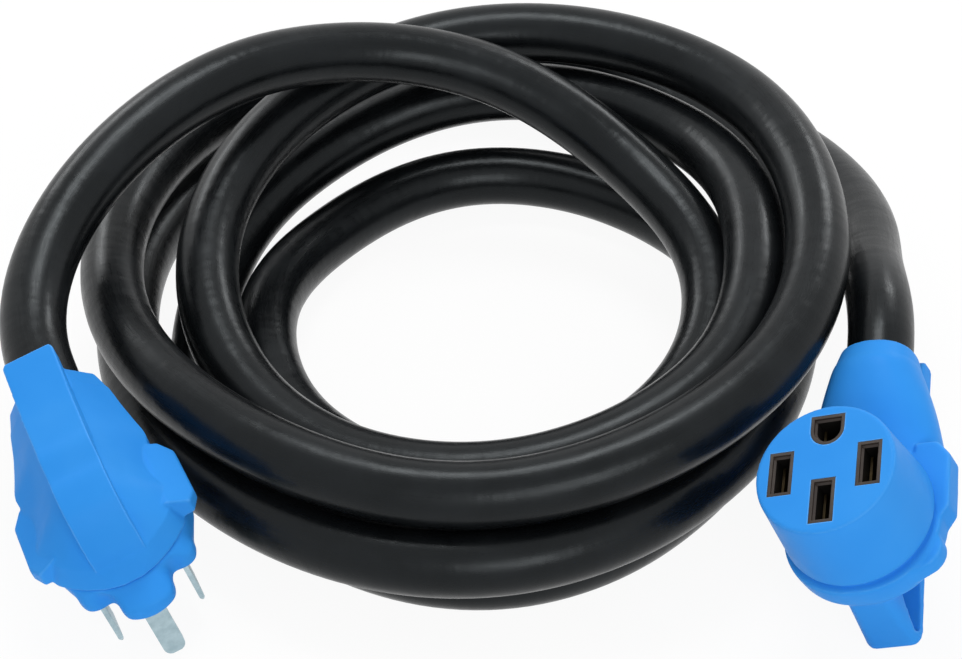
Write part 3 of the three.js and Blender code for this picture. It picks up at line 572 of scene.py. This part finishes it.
def makeCable(s):
    line, mouth = cableLine(s)
    bm = bmesh.new()
    column = bm.verts.layers.int.new("column")
    row = bm.verts.layers.int.new("row")
    uv = bm.loops.layers.uv.new("lengthwise")
    ring = bmesh.ops.create_circle(bm, segments=s["sides"], radius=1)["verts"]
    for number, vert in enumerate(ring):
        vert[column] = number
    edges = list(bm.edges)
    up = Vector((0, 0, 1))
    walked = [0.0]
    for a, b in zip(line, line[1:]):
        walked.append(walked[-1] + (b - a).length)
    for number, point in enumerate(line):
        along = (line[min(number + 1, len(line) - 1)] - line[max(number - 1, 0)]).normalized()
        side = along.cross(up).normalized()
        over = side.cross(along)
        if number:
            ring, edges = newRing(bm, edges)
        for vert in ring:
            angle = 2 * math.pi * vert[column] / s["sides"]
            wave = math.cos(4 * angle + 2 * math.pi * walked[number] / s["coreLay"])
            out = s["radius"] - s["coreRipple"] * (0.5 - 0.5 * wave)
            vert.co = (point + side * (math.cos(angle) * out) + over * (math.sin(angle) * out)) * mm
            vert[row] = number
    around = 2 * math.pi * s["radius"]
    for face in bm.faces:
        face.smooth = True
        wraps = {vert[column] for vert in face.verts} == {0, s["sides"] - 1}
        for loop in face.loops:
            turn = 1.0 if wraps and loop.vert[column] == 0 else loop.vert[column] / s["sides"]
            loop[uv].uv = (turn, walked[loop.vert[row]] / around)
    ends = bmesh.ops.holes_fill(bm, edges=bm.edges, sides=0)["faces"]
    bmesh.ops.recalc_face_normals(bm, faces=bm.faces)
    for face in ends:
        face.smooth = False
    mesh = bpy.data.meshes.new("cable")
    bm.to_mesh(mesh)
    bm.free()
    mesh.materials.append(jacket)
    cable = bpy.data.objects.new("cable", mesh)
    bpy.context.collection.objects.link(cable)
    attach(cable, "root")
    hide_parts("cable_coil", "cable_lead_plug", "cable_lead_connector")
    print("cable made,", round(walked[-1]), "mm long,", len(mesh.polygons), "faces")
    return cable, [point * mm for point in line], mouth * mm


cable, cablePath, cableExit = makeCable(cableSettings)

plugSettings = {
    "voxel": 0.45, "soften": 2,
    # Each row is a section across the shell: its station on Y, how far it stands off to the side, and
    # the half width and height of its foot, of the crease along its flank, and of its upper edge.
    "shell": [
        (-67.4, 0.0, 8.8, 17.6, 15.6, 30.5, 8.2, 44.7), (-66.8, 0.0, 9.4, 17.0, 16.5, 30.5, 8.8, 45.5),
        (-63, 0.0, 11.2, 16.2, 17.7, 30, 9, 45.6), (-59.4, 0.1, 13.2, 15.4, 18.9, 29.2, 9, 45.7),
        (-58.8, 0.1, 13.8, 15.0, 19.3, 28.9, 9, 45.7), (-51, 0.5, 17.6, 13.6, 21.3, 26.6, 9, 45.4),
        (-44, 1.0, 21.4, 12.2, 23.4, 24.6, 9, 44.9), (-38.5, 1.5, 24.6, 11.4, 25.2, 22.9, 9.1, 44.2),
        (-35, 1.8, 25.2, 11.3, 25.1, 22.3, 9.2, 43.7), (-30, 2.1, 24.6, 11.3, 23.8, 21.7, 9.2, 43.0),
        (-24.5, 2.1, 24.4, 11.3, 22.9, 21.4, 9.2, 42.2), (-18, 2.0, 25.4, 11.3, 23.6, 21.2, 9.2, 41.2),
        (-12.7, 1.9, 26.6, 11.3, 25.1, 21.2, 9.0, 39.9), (-8, 1.7, 26.2, 11.3, 24.2, 21.2, 8.7, 38.0),
        (-2.5, 1.5, 24.6, 11.3, 21.5, 21.1, 8.0, 33.8), (1, 1.5, 21.6, 11.3, 18.2, 20.9, 7.4, 29.6),
        (4, 1.5, 18.2, 11.3, 13.8, 20.5, 6.6, 25.2), (6, 1.5, 15.4, 11.3, 10.2, 20.0, 5.6, 21.6),
        (7.6, 1.5, 12.6, 11.3, 8.6, 17.6, 4.6, 18.6), (9.4, 1.5, 9.0, 11.3, 6.4, 14.6, 3.4, 15.4),
        (11.0, 1.5, 3.6, 11.3, 2.6, 12.0, 1.4, 12.3),
    ],
    # a foot lower than this has an upright side, and a higher one slopes straight to the crease
    "footLow": 11.4, "uprightSide": 0.8, "slopeShare": 0.55,
    # the collar's end leans, between these two stations
    "lean": 0.4, "leanFrom": -52, "leanFull": -64,
    "wall": 2.4, "roomFrom": -45, "roomTo": 2, "roomFloor": 9, "roomCrease": 0.4,
    "bore": 12.45, "boreTo": -84, "boreFrom": -43, "axisHeight": 31.5,
    "strapHalf": 9.6, "strapEdge": 0.6, "strapCorner": 2.2,
    # the strap's upper line from its foot to its tip: y, z and how far it stands off to the side
    "strapLine": [(6.9, 19.2, 2.0), (6.0, 26, 2.2), (2.2, 34, 2.5), (-3.4, 40.2, 2.6), (-8.6, 42.6, 2.7),
                  (-14, 43.9, 2.7), (-19, 44.0, 2.6), (-26, 46.5, 2.6), (-33, 46.7, 2.5), (-42, 48.3, 2.3),
                  (-50, 49.6, 2.0), (-60, 51.4, 1.5), (-68.8, 53.3, 0.9)],
    "strapTip": 6.6, "strapInside": [(-56, 39.5), (-14, 26), (3, 16)],
    "wing": [(17, -33.5), (26.8, -33.5), (31.0, -29), (31.4, -8.6), (28.6, -3.6), (17, -3.6)],
    "wingLow": 12.4, "wingHigh": 23.6, "wingSlope": ((24.2, 0, 22.0), (0.52, 0, 0.85)), "wingShift": 0.9,
    "wingEdge": 0.8,
    "seat": [(10, 22.3, 18.0, 19.4), (14.6, 22.0, 17.7, 19.2)],
}
seatSection = upright(2.2, -14)  # the rounded spigot by which the nose sits in the shell


def shellSection(row, angle):
    # A point on the eight-cornered section, at a share of the way round it.
    s = plugSettings
    y, shift, foot, footHeight, flank, creaseHeight, top, topHeight = row
    side, sideHeight = foot, footHeight + s["uprightSide"]
    if footHeight > s["footLow"]:
        side, sideHeight = flank, footHeight + s["slopeShare"] * (creaseHeight - footHeight)
    right = [(0, footHeight), (foot, footHeight), (side, sideHeight), (flank, creaseHeight), (top, topHeight),
             (0, topHeight)]
    corners = right + [(-x, z) for x, z in right[-2:0:-1]]
    place = (angle / (2 * math.pi)) % 1 * len(corners)
    i = math.floor(place)
    a, b = corners[i % len(corners)], corners[(i + 1) % len(corners)]
    z = a[1] + (b[1] - a[1]) * (place - i)
    lean = min(max((y - s["leanFrom"]) / (s["leanFull"] - s["leanFrom"]), 0), 1) * s["lean"]
    return Vector((shift + a[0] + (b[0] - a[0]) * (place - i), y + lean * (z - s["axisHeight"]), z))


def makePlugStrap(s):
    # The strap's side view is pushed across, and then stands off to the side as its table says.
    stations, heights, shifts = zip(*s["strapLine"])
    places = [i / 6 for i in range((len(stations) - 1) * 6 + 1)]
    line = [(through(stations, place), through(heights, place)) for place in places]
    line += [(stations[-1], heights[-1] - s["strapTip"])] + s["strapInside"]
    bm = slab(line, -s["strapHalf"], s["strapHalf"], 0, "X")
    roundCorner(bm, s["strapHalf"], stations[-1], s["strapCorner"], -1)
    bevelAll(bm, s["strapEdge"], 3)
    for vert in bm.verts:
        before = [i for i in range(len(stations) - 1) if stations[i + 1] <= vert.co.y] or [len(stations) - 2]
        i = before[0]
        share = min(max((vert.co.y - stations[i]) / (stations[i + 1] - stations[i]), 0), 1)
        vert.co.x += shifts[i] + (shifts[i + 1] - shifts[i]) * share
    return bm


def makeWing(s):
    # A pad with rounded edges. Where wingSlope is given, its top slopes down to the outer edge.
    bm = slab(s["wing"], s["wingLow"], s["wingHigh"])
    if "wingSlope" in s:
        at, out = s["wingSlope"]
        bmesh.ops.bisect_plane(bm, geom=bm.verts[:] + bm.edges[:] + bm.faces[:], plane_co=at, plane_no=out,
                               clear_outer=True)
        bmesh.ops.holes_fill(bm, edges=bm.edges, sides=0)
        bmesh.ops.recalc_face_normals(bm, faces=bm.faces)
    bevelAll(bm, s["wingEdge"], 3)
    return bm


def makePlugBody(s):
    wing = makeWing(s)
    wings = [mirrored(wing), wing]
    for part in wings:
        bmesh.ops.translate(part, verts=part.verts, vec=(s["wingShift"], 0, 0))
    body = gather("plug_shell", [loft(s["shell"], shellSection, 160, 5), makePlugStrap(s), *wings])
    melt(body, s["voxel"], s["soften"])
    # the room inside follows the outside, one wall further in
    wall = s["wall"]
    room = []
    for y, shift, foot, footHeight, flank, creaseHeight, top, topHeight in s["shell"]:
        if s["roomFrom"] < y < s["roomTo"]:
            room.append((y, shift, foot - wall, min(footHeight - wall, s["roomFloor"]), flank - wall,
                         creaseHeight - s["roomCrease"], top - 0.5 * wall, topHeight - wall))
    combine(body, [loft(room, shellSection, 64, 3), loft(s["seat"], seatSection, 96, 3),
                   rod(s["bore"], 0, s["axisHeight"], s["boreTo"], s["boreFrom"], 96)], "DIFFERENCE")
    finishPiece(body, plugToScene, bluePlastic, ["plug_body"])


makePlugBody(plugSettings)

# The nose is a skirt whose lower edge swells into a lobe round each blade.
noseSettings = {
    "voxel": 0.45, "soften": 3, "middle": -8,
    # Angle from straight ahead in degrees, and reach from the middle, of the lobed lower edge and of the top.
    "lobes": [(0, 28.4), (6, 28.2), (12.6, 27.7), (18.8, 26.7), (23.5, 24.6), (29, 21.2), (35.7, 19.5),
              (41.6, 20.2), (48.6, 23.2), (55.6, 24.8), (63.4, 24.6), (73.7, 23.6), (87.7, 24.7), (100.6, 27.1),
              (114, 29.2), (131, 31.4), (151.8, 31.0), (180, 30.0)],
    "top": [(0, 19.0), (31, 20.0), (53, 21.6), (70, 23.2), (81, 25.0), (94, 26.6), (114, 28.9), (131, 31.2),
            (152, 30.8), (180, 29.8)],
    # Height, how far the outline has gone from the lobes to the top, and how far it draws in.
    "rows": [(0, 0, 1.6), (0.4, 0, 0.7), (1.3, 0, 0.1), (3, 0, 0), (4.8, 0.03, 0), (6.2, 0.15, 0), (8.2, 0.52, 0),
             (9.8, 0.84, 0.1), (10.6, 0.93, 0.5), (11.0, 0.95, 1.1)],
    "shift": 1.5, "floor": 4, "slotTop": 4.9, "slotFit": 0.2,
    "stripRoom": (4.4, -1, 18.1, 0.3),  # half width, ends on Y and how far it clears the strip's top
    "pocket": [(4, 20.2, 14.6, 16.6), (15, 19.4, 14.6, 16.6)],
    "collar": [(10, 21.8, 17.4, 18.8), (13.8, 21.4, 17.0, 18.4)],
}


def between(table, place):
    # A straight reading between two rows of a table of (place, value).
    for (a, low), (b, high) in zip(table, table[1:]):
        if place <= b:
            return low + (high - low) * (place - a) / (b - a)
    return table[-1][1]


def noseSection(row, angle):
    s = noseSettings
    z, gone, inset = row
    ahead = math.remainder(angle - math.pi / 2, 2 * math.pi)
    place = abs(ahead) / math.pi * (len(s["lobes"]) - 1)
    turn = through([p[0] for p in s["lobes"]], place)
    reach = through([p[1] for p in s["lobes"]], place)
    reach += (between(s["top"], turn) - reach) * gone - inset
    side = -math.copysign(math.sin(math.radians(turn)) * reach, ahead)
    return Vector((side + s["shift"] * gone, s["middle"] + math.cos(math.radians(turn)) * reach, z))


bladeSettings = {
    "width": 12.2, "thickness": 1.9, "length": 22.7, "shoulder": 4.6, "taper": 2.6,
    "groundHalf": 4.0, "groundDeep": 3.2, "groundAt": 15.2,
    "groundTip": [(-21.0, 1.0), (-22.4, 0.96), (-23.6, 0.86), (-24.6, 0.69), (-25.3, 0.44)],
    "tipSize": (0.42, 0.8), "edge": 0.22, "neckSetback": 3.8, "neckDeep": 4,
    "barrel": 3.5, "barrelLength": 12, "barrelHeight": 20, "groundBarrelHeight": 29.6,
    # the ground pin's strip and post: half width, low, high, and the post's ends on Y
    "strip": (3.6, 4.2, 5.6, -5.9, -3.4), "stripReach": 2.4, "postHalf": 2.5,
    "places": {"left_blade": (15.9, 0), "right_blade": (-15.9, 0), "middle_blade": (0, -12.5)},
}


def bladeOutline(x, y, grow=0.0):
    half, deep = bladeSettings["thickness"] / 2 + grow, bladeSettings["width"] / 2 + grow
    return [(x - half, y - deep), (x + half, y - deep), (x + half, y + deep), (x - half, y + deep)]


def groundOutline(grow=0.0, sides=18):
    s = bladeSettings
    out = s["groundHalf"] + grow
    centre = s["groundAt"] - s["groundDeep"] + s["groundHalf"]
    bow = [(out * math.cos(math.pi * (1 + i / sides)), centre + out * math.sin(math.pi * (1 + i / sides)))
           for i in range(sides + 1)]
    return bow + [(out, s["groundAt"] + s["groundDeep"] + grow), (-out, s["groundAt"] + s["groundDeep"] + grow)]


def drawTip(bm, centre, z, size):
    # Pushes the lowest face down to a height, and draws it in by (across X, across Y).
    face = min(bm.faces, key=lambda part: part.calc_center_median().z)
    low = face.calc_center_median().z
    made = bmesh.ops.extrude_face_region(bm, geom=[face])["geom"]
    bmesh.ops.delete(bm, geom=[face], context="FACES_ONLY")
    verts = [part for part in made if isinstance(part, bmesh.types.BMVert)]
    bmesh.ops.translate(bm, verts=verts, vec=(0, 0, z - low))
    bmesh.ops.scale(bm, verts=verts, vec=(*size, 1), space=Matrix.Translation((-centre[0], -centre[1], 0)))


def makeBlade(name, node):
    s = bladeSettings
    x, y = s["places"][name]
    bm = slab(bladeOutline(x, y), -s["length"] + s["taper"], s["shoulder"])
    drawTip(bm, (x, y), -s["length"], s["tipSize"])
    bmesh.ops.recalc_face_normals(bm, faces=bm.faces)
    bevelAll(bm, s["edge"], 2)
    blade = gather(name, [bm])
    far, half = y - s["neckSetback"], s["thickness"] / 2
    near = far - s["neckDeep"]
    neck = slab([(x - half, near), (x + half, near), (x + half, far), (x - half, far)], s["shoulder"] - 1,
                s["barrelHeight"])
    combine(blade, [neck, rod(s["barrel"], x, s["barrelHeight"], far - s["barrelLength"], far)], "UNION")
    finishPiece(blade, plugToScene, platedMetal, [node], 30)


def makeGroundPin(s):
    first = s["groundTip"][0][0]
    bm = slab(groundOutline(), first, s["shoulder"])
    size = 1.0
    for z, share in s["groundTip"][1:]:
        drawTip(bm, (0, s["groundAt"] + s["groundDeep"]), z, (share / size, share / size))
        size = share
    bmesh.ops.recalc_face_normals(bm, faces=bm.faces)
    pin = gather("plug_pin", [bm])
    half, low, high, near, far = s["strip"]
    front, wide = s["groundAt"] + s["stripReach"], s["postHalf"]
    strip = slab([(-half, near), (half, near), (half, front), (-half, front)], low, high)
    post = slab([(-wide, near), (wide, near), (wide, far), (-wide, far)], low, s["groundBarrelHeight"])
    crimp = rod(s["barrel"], 0, s["groundBarrelHeight"], far - s["barrelLength"], far)
    combine(pin, [strip, post, crimp], "UNION")
    finishPiece(pin, plugToScene, platedMetal, ["plug_ground_pin"], 40)


makeBlade("left_blade", "plug_hot_left_blade")
makeBlade("right_blade", "plug_hot_right_blade")
makeBlade("middle_blade", "plug_neutral_blade")
makeGroundPin(bladeSettings)


def makeNose(s):
    nose = gather("plug_nose", [loft(s["rows"], noseSection, 180, 3), loft(s["collar"], seatSection, 96, 3)])
    melt(nose, s["voxel"], s["soften"])
    half, near, far, clear = s["stripRoom"]
    room = slab([(-half, near), (half, near), (half, far), (-half, far)], s["floor"],
                bladeSettings["strip"][2] + clear)
    outlines = [groundOutline(s["slotFit"])]
    outlines += [bladeOutline(x, y, s["slotFit"]) for x, y in bladeSettings["places"].values()]
    combine(nose, [loft(s["pocket"], seatSection, 96, 3), room,
                   *[slab(outline, -2, s["slotTop"]) for outline in outlines]], "DIFFERENCE")
    finishPiece(nose, plugToScene, bluePlastic, ["plug_face"])


makeNose(noseSettings)

connectorSettings = {
    "voxel": 0.58, "soften": 3,
    "barrel": [(0, 0), (24.2, 0), (24.7, 0.15), (25.05, 0.55), (25.2, 1.1), (27.85, 32.0), (27.6, 32.6),
               (25.6, 33.4), (25.4, 37), (0, 37)],
    "rim": [(34.9, 27.8, 27.8, 28.6), (35.8, 29.0, 29.0, 29.6), (40, 29.0, 29.0, 30), (44.6, 28.5, 28.5, 30),
            (46.6, 27.2, 27.2, 30)],
    "dome": [(46.6, 27.2, 27.2, 30), (51, 25.4, 22.8, 30), (56, 21.6, 16, 30), (60, 16, 8, 29.4),
             (62, 9, -2, 28)],
    "boot": [(-70.9, 13.4, 28.8, 55.2), (-70.5, 13.9, 28.2, 55.8), (-68, 14.6, 27.4, 56.5),
             (-65.4, 15.3, 26.6, 57.3), (-64.9, 15.1, 26.8, 57.1), (-64.4, 15.6, 26.3, 57.6),
             (-60, 17.2, 25.4, 59), (-47, 21.2, 27.5, 60.6), (-32, 24.2, 32, 62), (-18, 26.8, 34.8, 62),
             (-4, 27.2, 34.8, 62)],
    "wing": [(18, -28.5), (26.2, -28.5), (31.2, -22.5), (31.6, -1.8), (28.4, 3.4), (18, 3.4)],
    "wingLow": 34.9, "wingHigh": 45.2, "wingEdge": 0.8,
    # a lobe on the raised side of the rim
    "lobe": [(18, 5), (27.6, 8.0), (29.2, 10.8), (29.5, 13.6), (28.6, 16.8), (26.2, 19.6), (18, 24)],
    "lobeLow": 36.0, "lobeHigh": 43.6, "lobeEdge": 1.4,
    # legNarrow is where the leg starts to widen, over what height, and its narrowest share
    "handleHalf": 10.5, "handleEdge": 2.0, "legNarrow": (46, 20, 0.72), "legCorner": 4.6,
    "legFoot": 22.77, "legLean": 0.1038,
    "handle": [(-80.6, 66.4), (-80.8, 60.8), (-56.8, 54), (0, 48), (15.5, 37), (26.6, 38), (30.3, 73.9),
               (-79.2, 67.1)],
    "opening": [(-6, 66.8), (2, 68.0), (16, 70.6), (24.6, 71.4), (26.6, 70.4), (26.8, 67.4), (24.4, 61.8),
                (19.6, 56.2), (17.0, 54.2), (14.0, 53.8), (5.5, 59.0)],
    "openingHalf": 30,
    "faceThickness": 3, "blockEnd": 23, "blockRadius": 21.6, "blockFit": 0.3, "behindBlock": 4,
    "bore": 12.45, "boreTo": -80, "boreFrom": -44, "axisHeight": 42,
    # the room behind the block, and the one that leads from it to the cable
    "hollow": [(26, 21.6, 21.6, 21.6), (29, 23.6, 21.4, 24.4), (40, 23, 19.6, 25), (51.5, 16, 10, 26)],
    "throat": [(-44.6, 12.45, 29.55, 54.45), (-31, 18.5, 33.5, 56), (-22, 20.5, 33, 55), (-8, 20.5, 32.5, 52)],
}

# The slots in the face: middle, half width and half depth. The ground slot is round on one side.
slotSettings = {
    "slots": [(15.9, 0, 2.45, 6.7), (-15.9, 0, 2.45, 6.7), (0, 12.5, 2.45, 6.7)],
    "ground": (0, -15.4, 4.2, 4.0), "frame": 1.9, "fit": 0.1,
    # how far a rim stands back from the face, reaches into the block, and is rounded
    "rimBack": 0.1, "rimRoot": 1.3, "rimEdge": 0.12,
    "flare": 0.75, "flareFrom": -0.6, "flareStraight": 1.0, "flareDepth": 1.5,
}


def slotOutline(slot, grow, sides=14):
    x, y, half, deep = slot
    if slot != slotSettings["ground"]:
        return [(x - half - grow, y - deep - grow), (x + half + grow, y - deep - grow),
                (x + half + grow, y + deep + grow), (x - half - grow, y + deep + grow)]
    out = half + grow
    centre = y + deep - half
    bow = [(x + out * math.cos(math.pi * i / sides), centre + out * math.sin(math.pi * i / sides))
           for i in range(sides + 1)]
    return [(x - out, y - deep - grow), (x + out, y - deep - grow)] + bow


def drawTop(bm, slot, z, amount):
    # Pushes the highest face up to a height, and draws it in by an amount on each side.
    face = max(bm.faces, key=lambda part: part.calc_center_median().z)
    high = face.calc_center_median().z
    made = bmesh.ops.extrude_face_region(bm, geom=[face])["geom"]
    bmesh.ops.delete(bm, geom=[face], context="FACES_ONLY")
    verts = [part for part in made if isinstance(part, bmesh.types.BMVert)]
    x, y, half, deep = slot
    bmesh.ops.translate(bm, verts=verts, vec=(0, 0, z - high))
    bmesh.ops.scale(bm, verts=verts, vec=(half / (half + amount), deep / (deep + amount), 1),
                    space=Matrix.Translation((-x, -y, 0)))
    bmesh.ops.recalc_face_normals(bm, faces=bm.faces)


def allSlots():
    return slotSettings["slots"] + [slotSettings["ground"]]


def makeConnectorBody(s):
    wing = makeWing(s)
    grip = slab(s["handle"], -s["handleHalf"], s["handleHalf"], 0, "X")
    roundCorner(grip, s["handleHalf"], s["legFoot"], s["legCorner"], 1, s["legLean"])
    bevelAll(grip, s["handleEdge"], 5)
    for vert in grip.verts:
        share = min(max((vert.co.z - s["legNarrow"][0]) / s["legNarrow"][1], 0), 1)
        vert.co.x *= s["legNarrow"][2] + (1 - s["legNarrow"][2]) * share * share * (3 - 2 * share)
    outside = gather("connector_shell", [
        turned(s["barrel"]),
        loft(s["rim"], upright(2.15)),
        loft(s["dome"], upright(2.15)),
        loft(s["boot"], lengthwise(2.25)),
        mirrored(wing), wing, grip,
        slab(s["lobe"], s["lobeLow"], s["lobeHigh"], s["lobeEdge"]),
    ])
    melt(outside, s["voxel"], 0)
    combine(outside, [slab(s["opening"], -s["openingHalf"], s["openingHalf"], 0, "X")], "DIFFERENCE")
    melt(outside, s["voxel"], s["soften"])
    combine(outside, [
        disc(s["blockRadius"] + s["blockFit"], s["faceThickness"], s["blockEnd"] + s["behindBlock"]),
        loft(s["hollow"], upright(2.0), 64, 4),
        loft(s["throat"], lengthwise(2.6), 64, 4),
        rod(s["bore"], 0, s["axisHeight"], s["boreTo"], s["boreFrom"], 96),
        *[slab(slotOutline(slot, slotSettings["frame"] + slotSettings["fit"]), -2, s["faceThickness"] + 2)
          for slot in allSlots()],
    ], "DIFFERENCE")
    finishPiece(outside, connectorToScene, bluePlastic, ["connector_body"])
    return outside


connectorBody = makeConnectorBody(connectorSettings)


def makeContactBlock(s, slots):
    # The block behind the face, with a rim in each slot of the face that flares to its outer edge.
    block = gather("contact_block", [disc(s["blockRadius"], s["faceThickness"] + s["blockFit"], s["blockEnd"])])
    combine(block, [slab(slotOutline(slot, slots["frame"]), slots["rimBack"],
                         s["faceThickness"] + slots["rimRoot"], slots["rimEdge"]) for slot in allSlots()], "UNION")
    for slot in allSlots():
        well = slab(slotOutline(slot, 0), -2, s["blockEnd"] + 2)
        flare = slab(slotOutline(slot, slots["flare"]), slots["flareFrom"], slots["flareStraight"])
        drawTop(flare, slot, slots["flareDepth"], slots["flare"])
        combine(block, [well, flare], "DIFFERENCE")
    finishPiece(block, connectorToScene, darkPlastic, ["connector_contact_block"], 25)
    # the walls below the flare get a near-black copy of the plastic, painted shade deep in the slots
    block.data.materials.append(slotShadePlastic)
    toEnd = connectorToScene.inverted()
    for face in block.data.polygons:
        face.material_index = int((toEnd @ face.center).z > slots["flareDepth"] + 0.1)
    return block


contactBlock = makeContactBlock(connectorSettings, slotSettings)

stageSettings = {
    "floor": (0.93, 0.93, 0.93, 1), "floorHalf": 6, "glow": 0.93, "fill": 0.58,
    # place, size, watts and what each lamp faces
    "lamps": [
        ("overhead", (-0.05, 0.42, 1.1), (0.5, 0.34), 4.8, (0.0, 0.1, 0.0)),
        ("back left", (-0.75, 1.1, 0.62), (0.5, 0.35), 2.7, (-0.1, 0.1, 0.0)),
        ("back right", (0.7, 1.15, 0.8), (0.4, 0.3), 2.8, (0.1, 0.1, 0.0)),
        ("front", (0.3, -1.0, 0.7), (0.7, 0.5), 4.6, (0.0, 0.0, 0.03)),
    ],
}


def whiteToCamera(nodes, links, shaded, seen):
    # What the camera and mirrors see is the white background, and the rest sees the plain shader.
    rays = nodes.new("ShaderNodeLightPath")
    either = nodes.new("ShaderNodeMath")
    either.operation = "MAXIMUM"
    links.new(rays.outputs["Is Camera Ray"], either.inputs[0])
    links.new(rays.outputs["Is Glossy Ray"], either.inputs[1])
    seenRays = nodes.new("ShaderNodeMath")
    seenRays.operation = "MAXIMUM"
    links.new(either.outputs["Value"], seenRays.inputs[0])
    links.new(rays.outputs["Is Transmission Ray"], seenRays.inputs[1])
    mix = nodes.new("ShaderNodeMixShader")
    links.new(seenRays.outputs["Value"], mix.inputs["Fac"])
    links.new(shaded, mix.inputs[1])
    links.new(seen, mix.inputs[2])
    return mix.outputs["Shader"]


def makeWorld(s):
    world = bpy.data.worlds.new("studio")
    bpy.context.scene.world = world
    world.use_nodes = True
    nodes, links = world.node_tree.nodes, world.node_tree.links
    fill = nodes["Background"]
    fill.inputs["Color"].default_value = (1, 1, 1, 1)
    fill.inputs["Strength"].default_value = s["fill"]
    white = nodes.new("ShaderNodeBackground")
    white.inputs["Color"].default_value = (1, 1, 1, 1)
    white.inputs["Strength"].default_value = 1
    mixed = whiteToCamera(nodes, links, fill.outputs["Background"], white.outputs["Background"])
    links.new(mixed, nodes["World Output"].inputs["Surface"])


def makeFloor(s):
    bm = bmesh.new()
    bmesh.ops.create_grid(bm, x_segments=1, y_segments=1, size=s["floorHalf"])
    mesh = bpy.data.meshes.new("floor")
    bm.to_mesh(mesh)
    bm.free()
    floor = bpy.data.objects.new("floor", mesh)
    bpy.context.collection.objects.link(floor)
    material, nodes, links = newMaterial("floor")
    nodes.remove(nodes["Principled BSDF"])
    matte = nodes.new("ShaderNodeBsdfDiffuse")
    matte.inputs["Color"].default_value = s["floor"]
    glow = nodes.new("ShaderNodeEmission")
    glow.inputs["Color"].default_value = (1, 1, 1, 1)
    glow.inputs["Strength"].default_value = 1
    half = nodes.new("ShaderNodeMixShader")
    half.inputs["Fac"].default_value = s["glow"]
    links.new(matte.outputs["BSDF"], half.inputs[1])
    links.new(glow.outputs["Emission"], half.inputs[2])
    mixed = whiteToCamera(nodes, links, matte.outputs["BSDF"], half.outputs["Shader"])
    links.new(mixed, nodes["Material Output"].inputs["Surface"])
    mesh.materials.append(material)


def makeLamps(s):
    for name, place, size, watts, faces in s["lamps"]:
        light = bpy.data.lights.new(name, "AREA")
        light.shape = "RECTANGLE"
        light.size, light.size_y = size
        light.energy = watts
        lamp = bpy.data.objects.new(name, light)
        bpy.context.collection.objects.link(lamp)
        lamp.location = place
        lamp.rotation_euler = (Vector(faces) - Vector(place)).to_track_quat("-Z", "Y").to_euler()


makeWorld(stageSettings)
makeFloor(stageSettings)
makeLamps(stageSettings)
bpy.context.scene.view_settings.view_transform = "Standard"
print("stage made")

# The contacts and the cores are the model's own solids, with better materials.
for nodeName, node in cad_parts.items():
    if node.hide_render:
        continue
    look = brass
    for word, colour in insulation.items():
        if nodeName.endswith(f"{word}_core"):
            look = colour
    node.data.materials.clear()
    node.data.materials.append(look)

goesAlong = [connectorBody, contactBlock]
goesAlong += [node for nodeName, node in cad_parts.items()
              if nodeName.startswith("connector") and not node.hide_render]
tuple(cableExit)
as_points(cablePath)
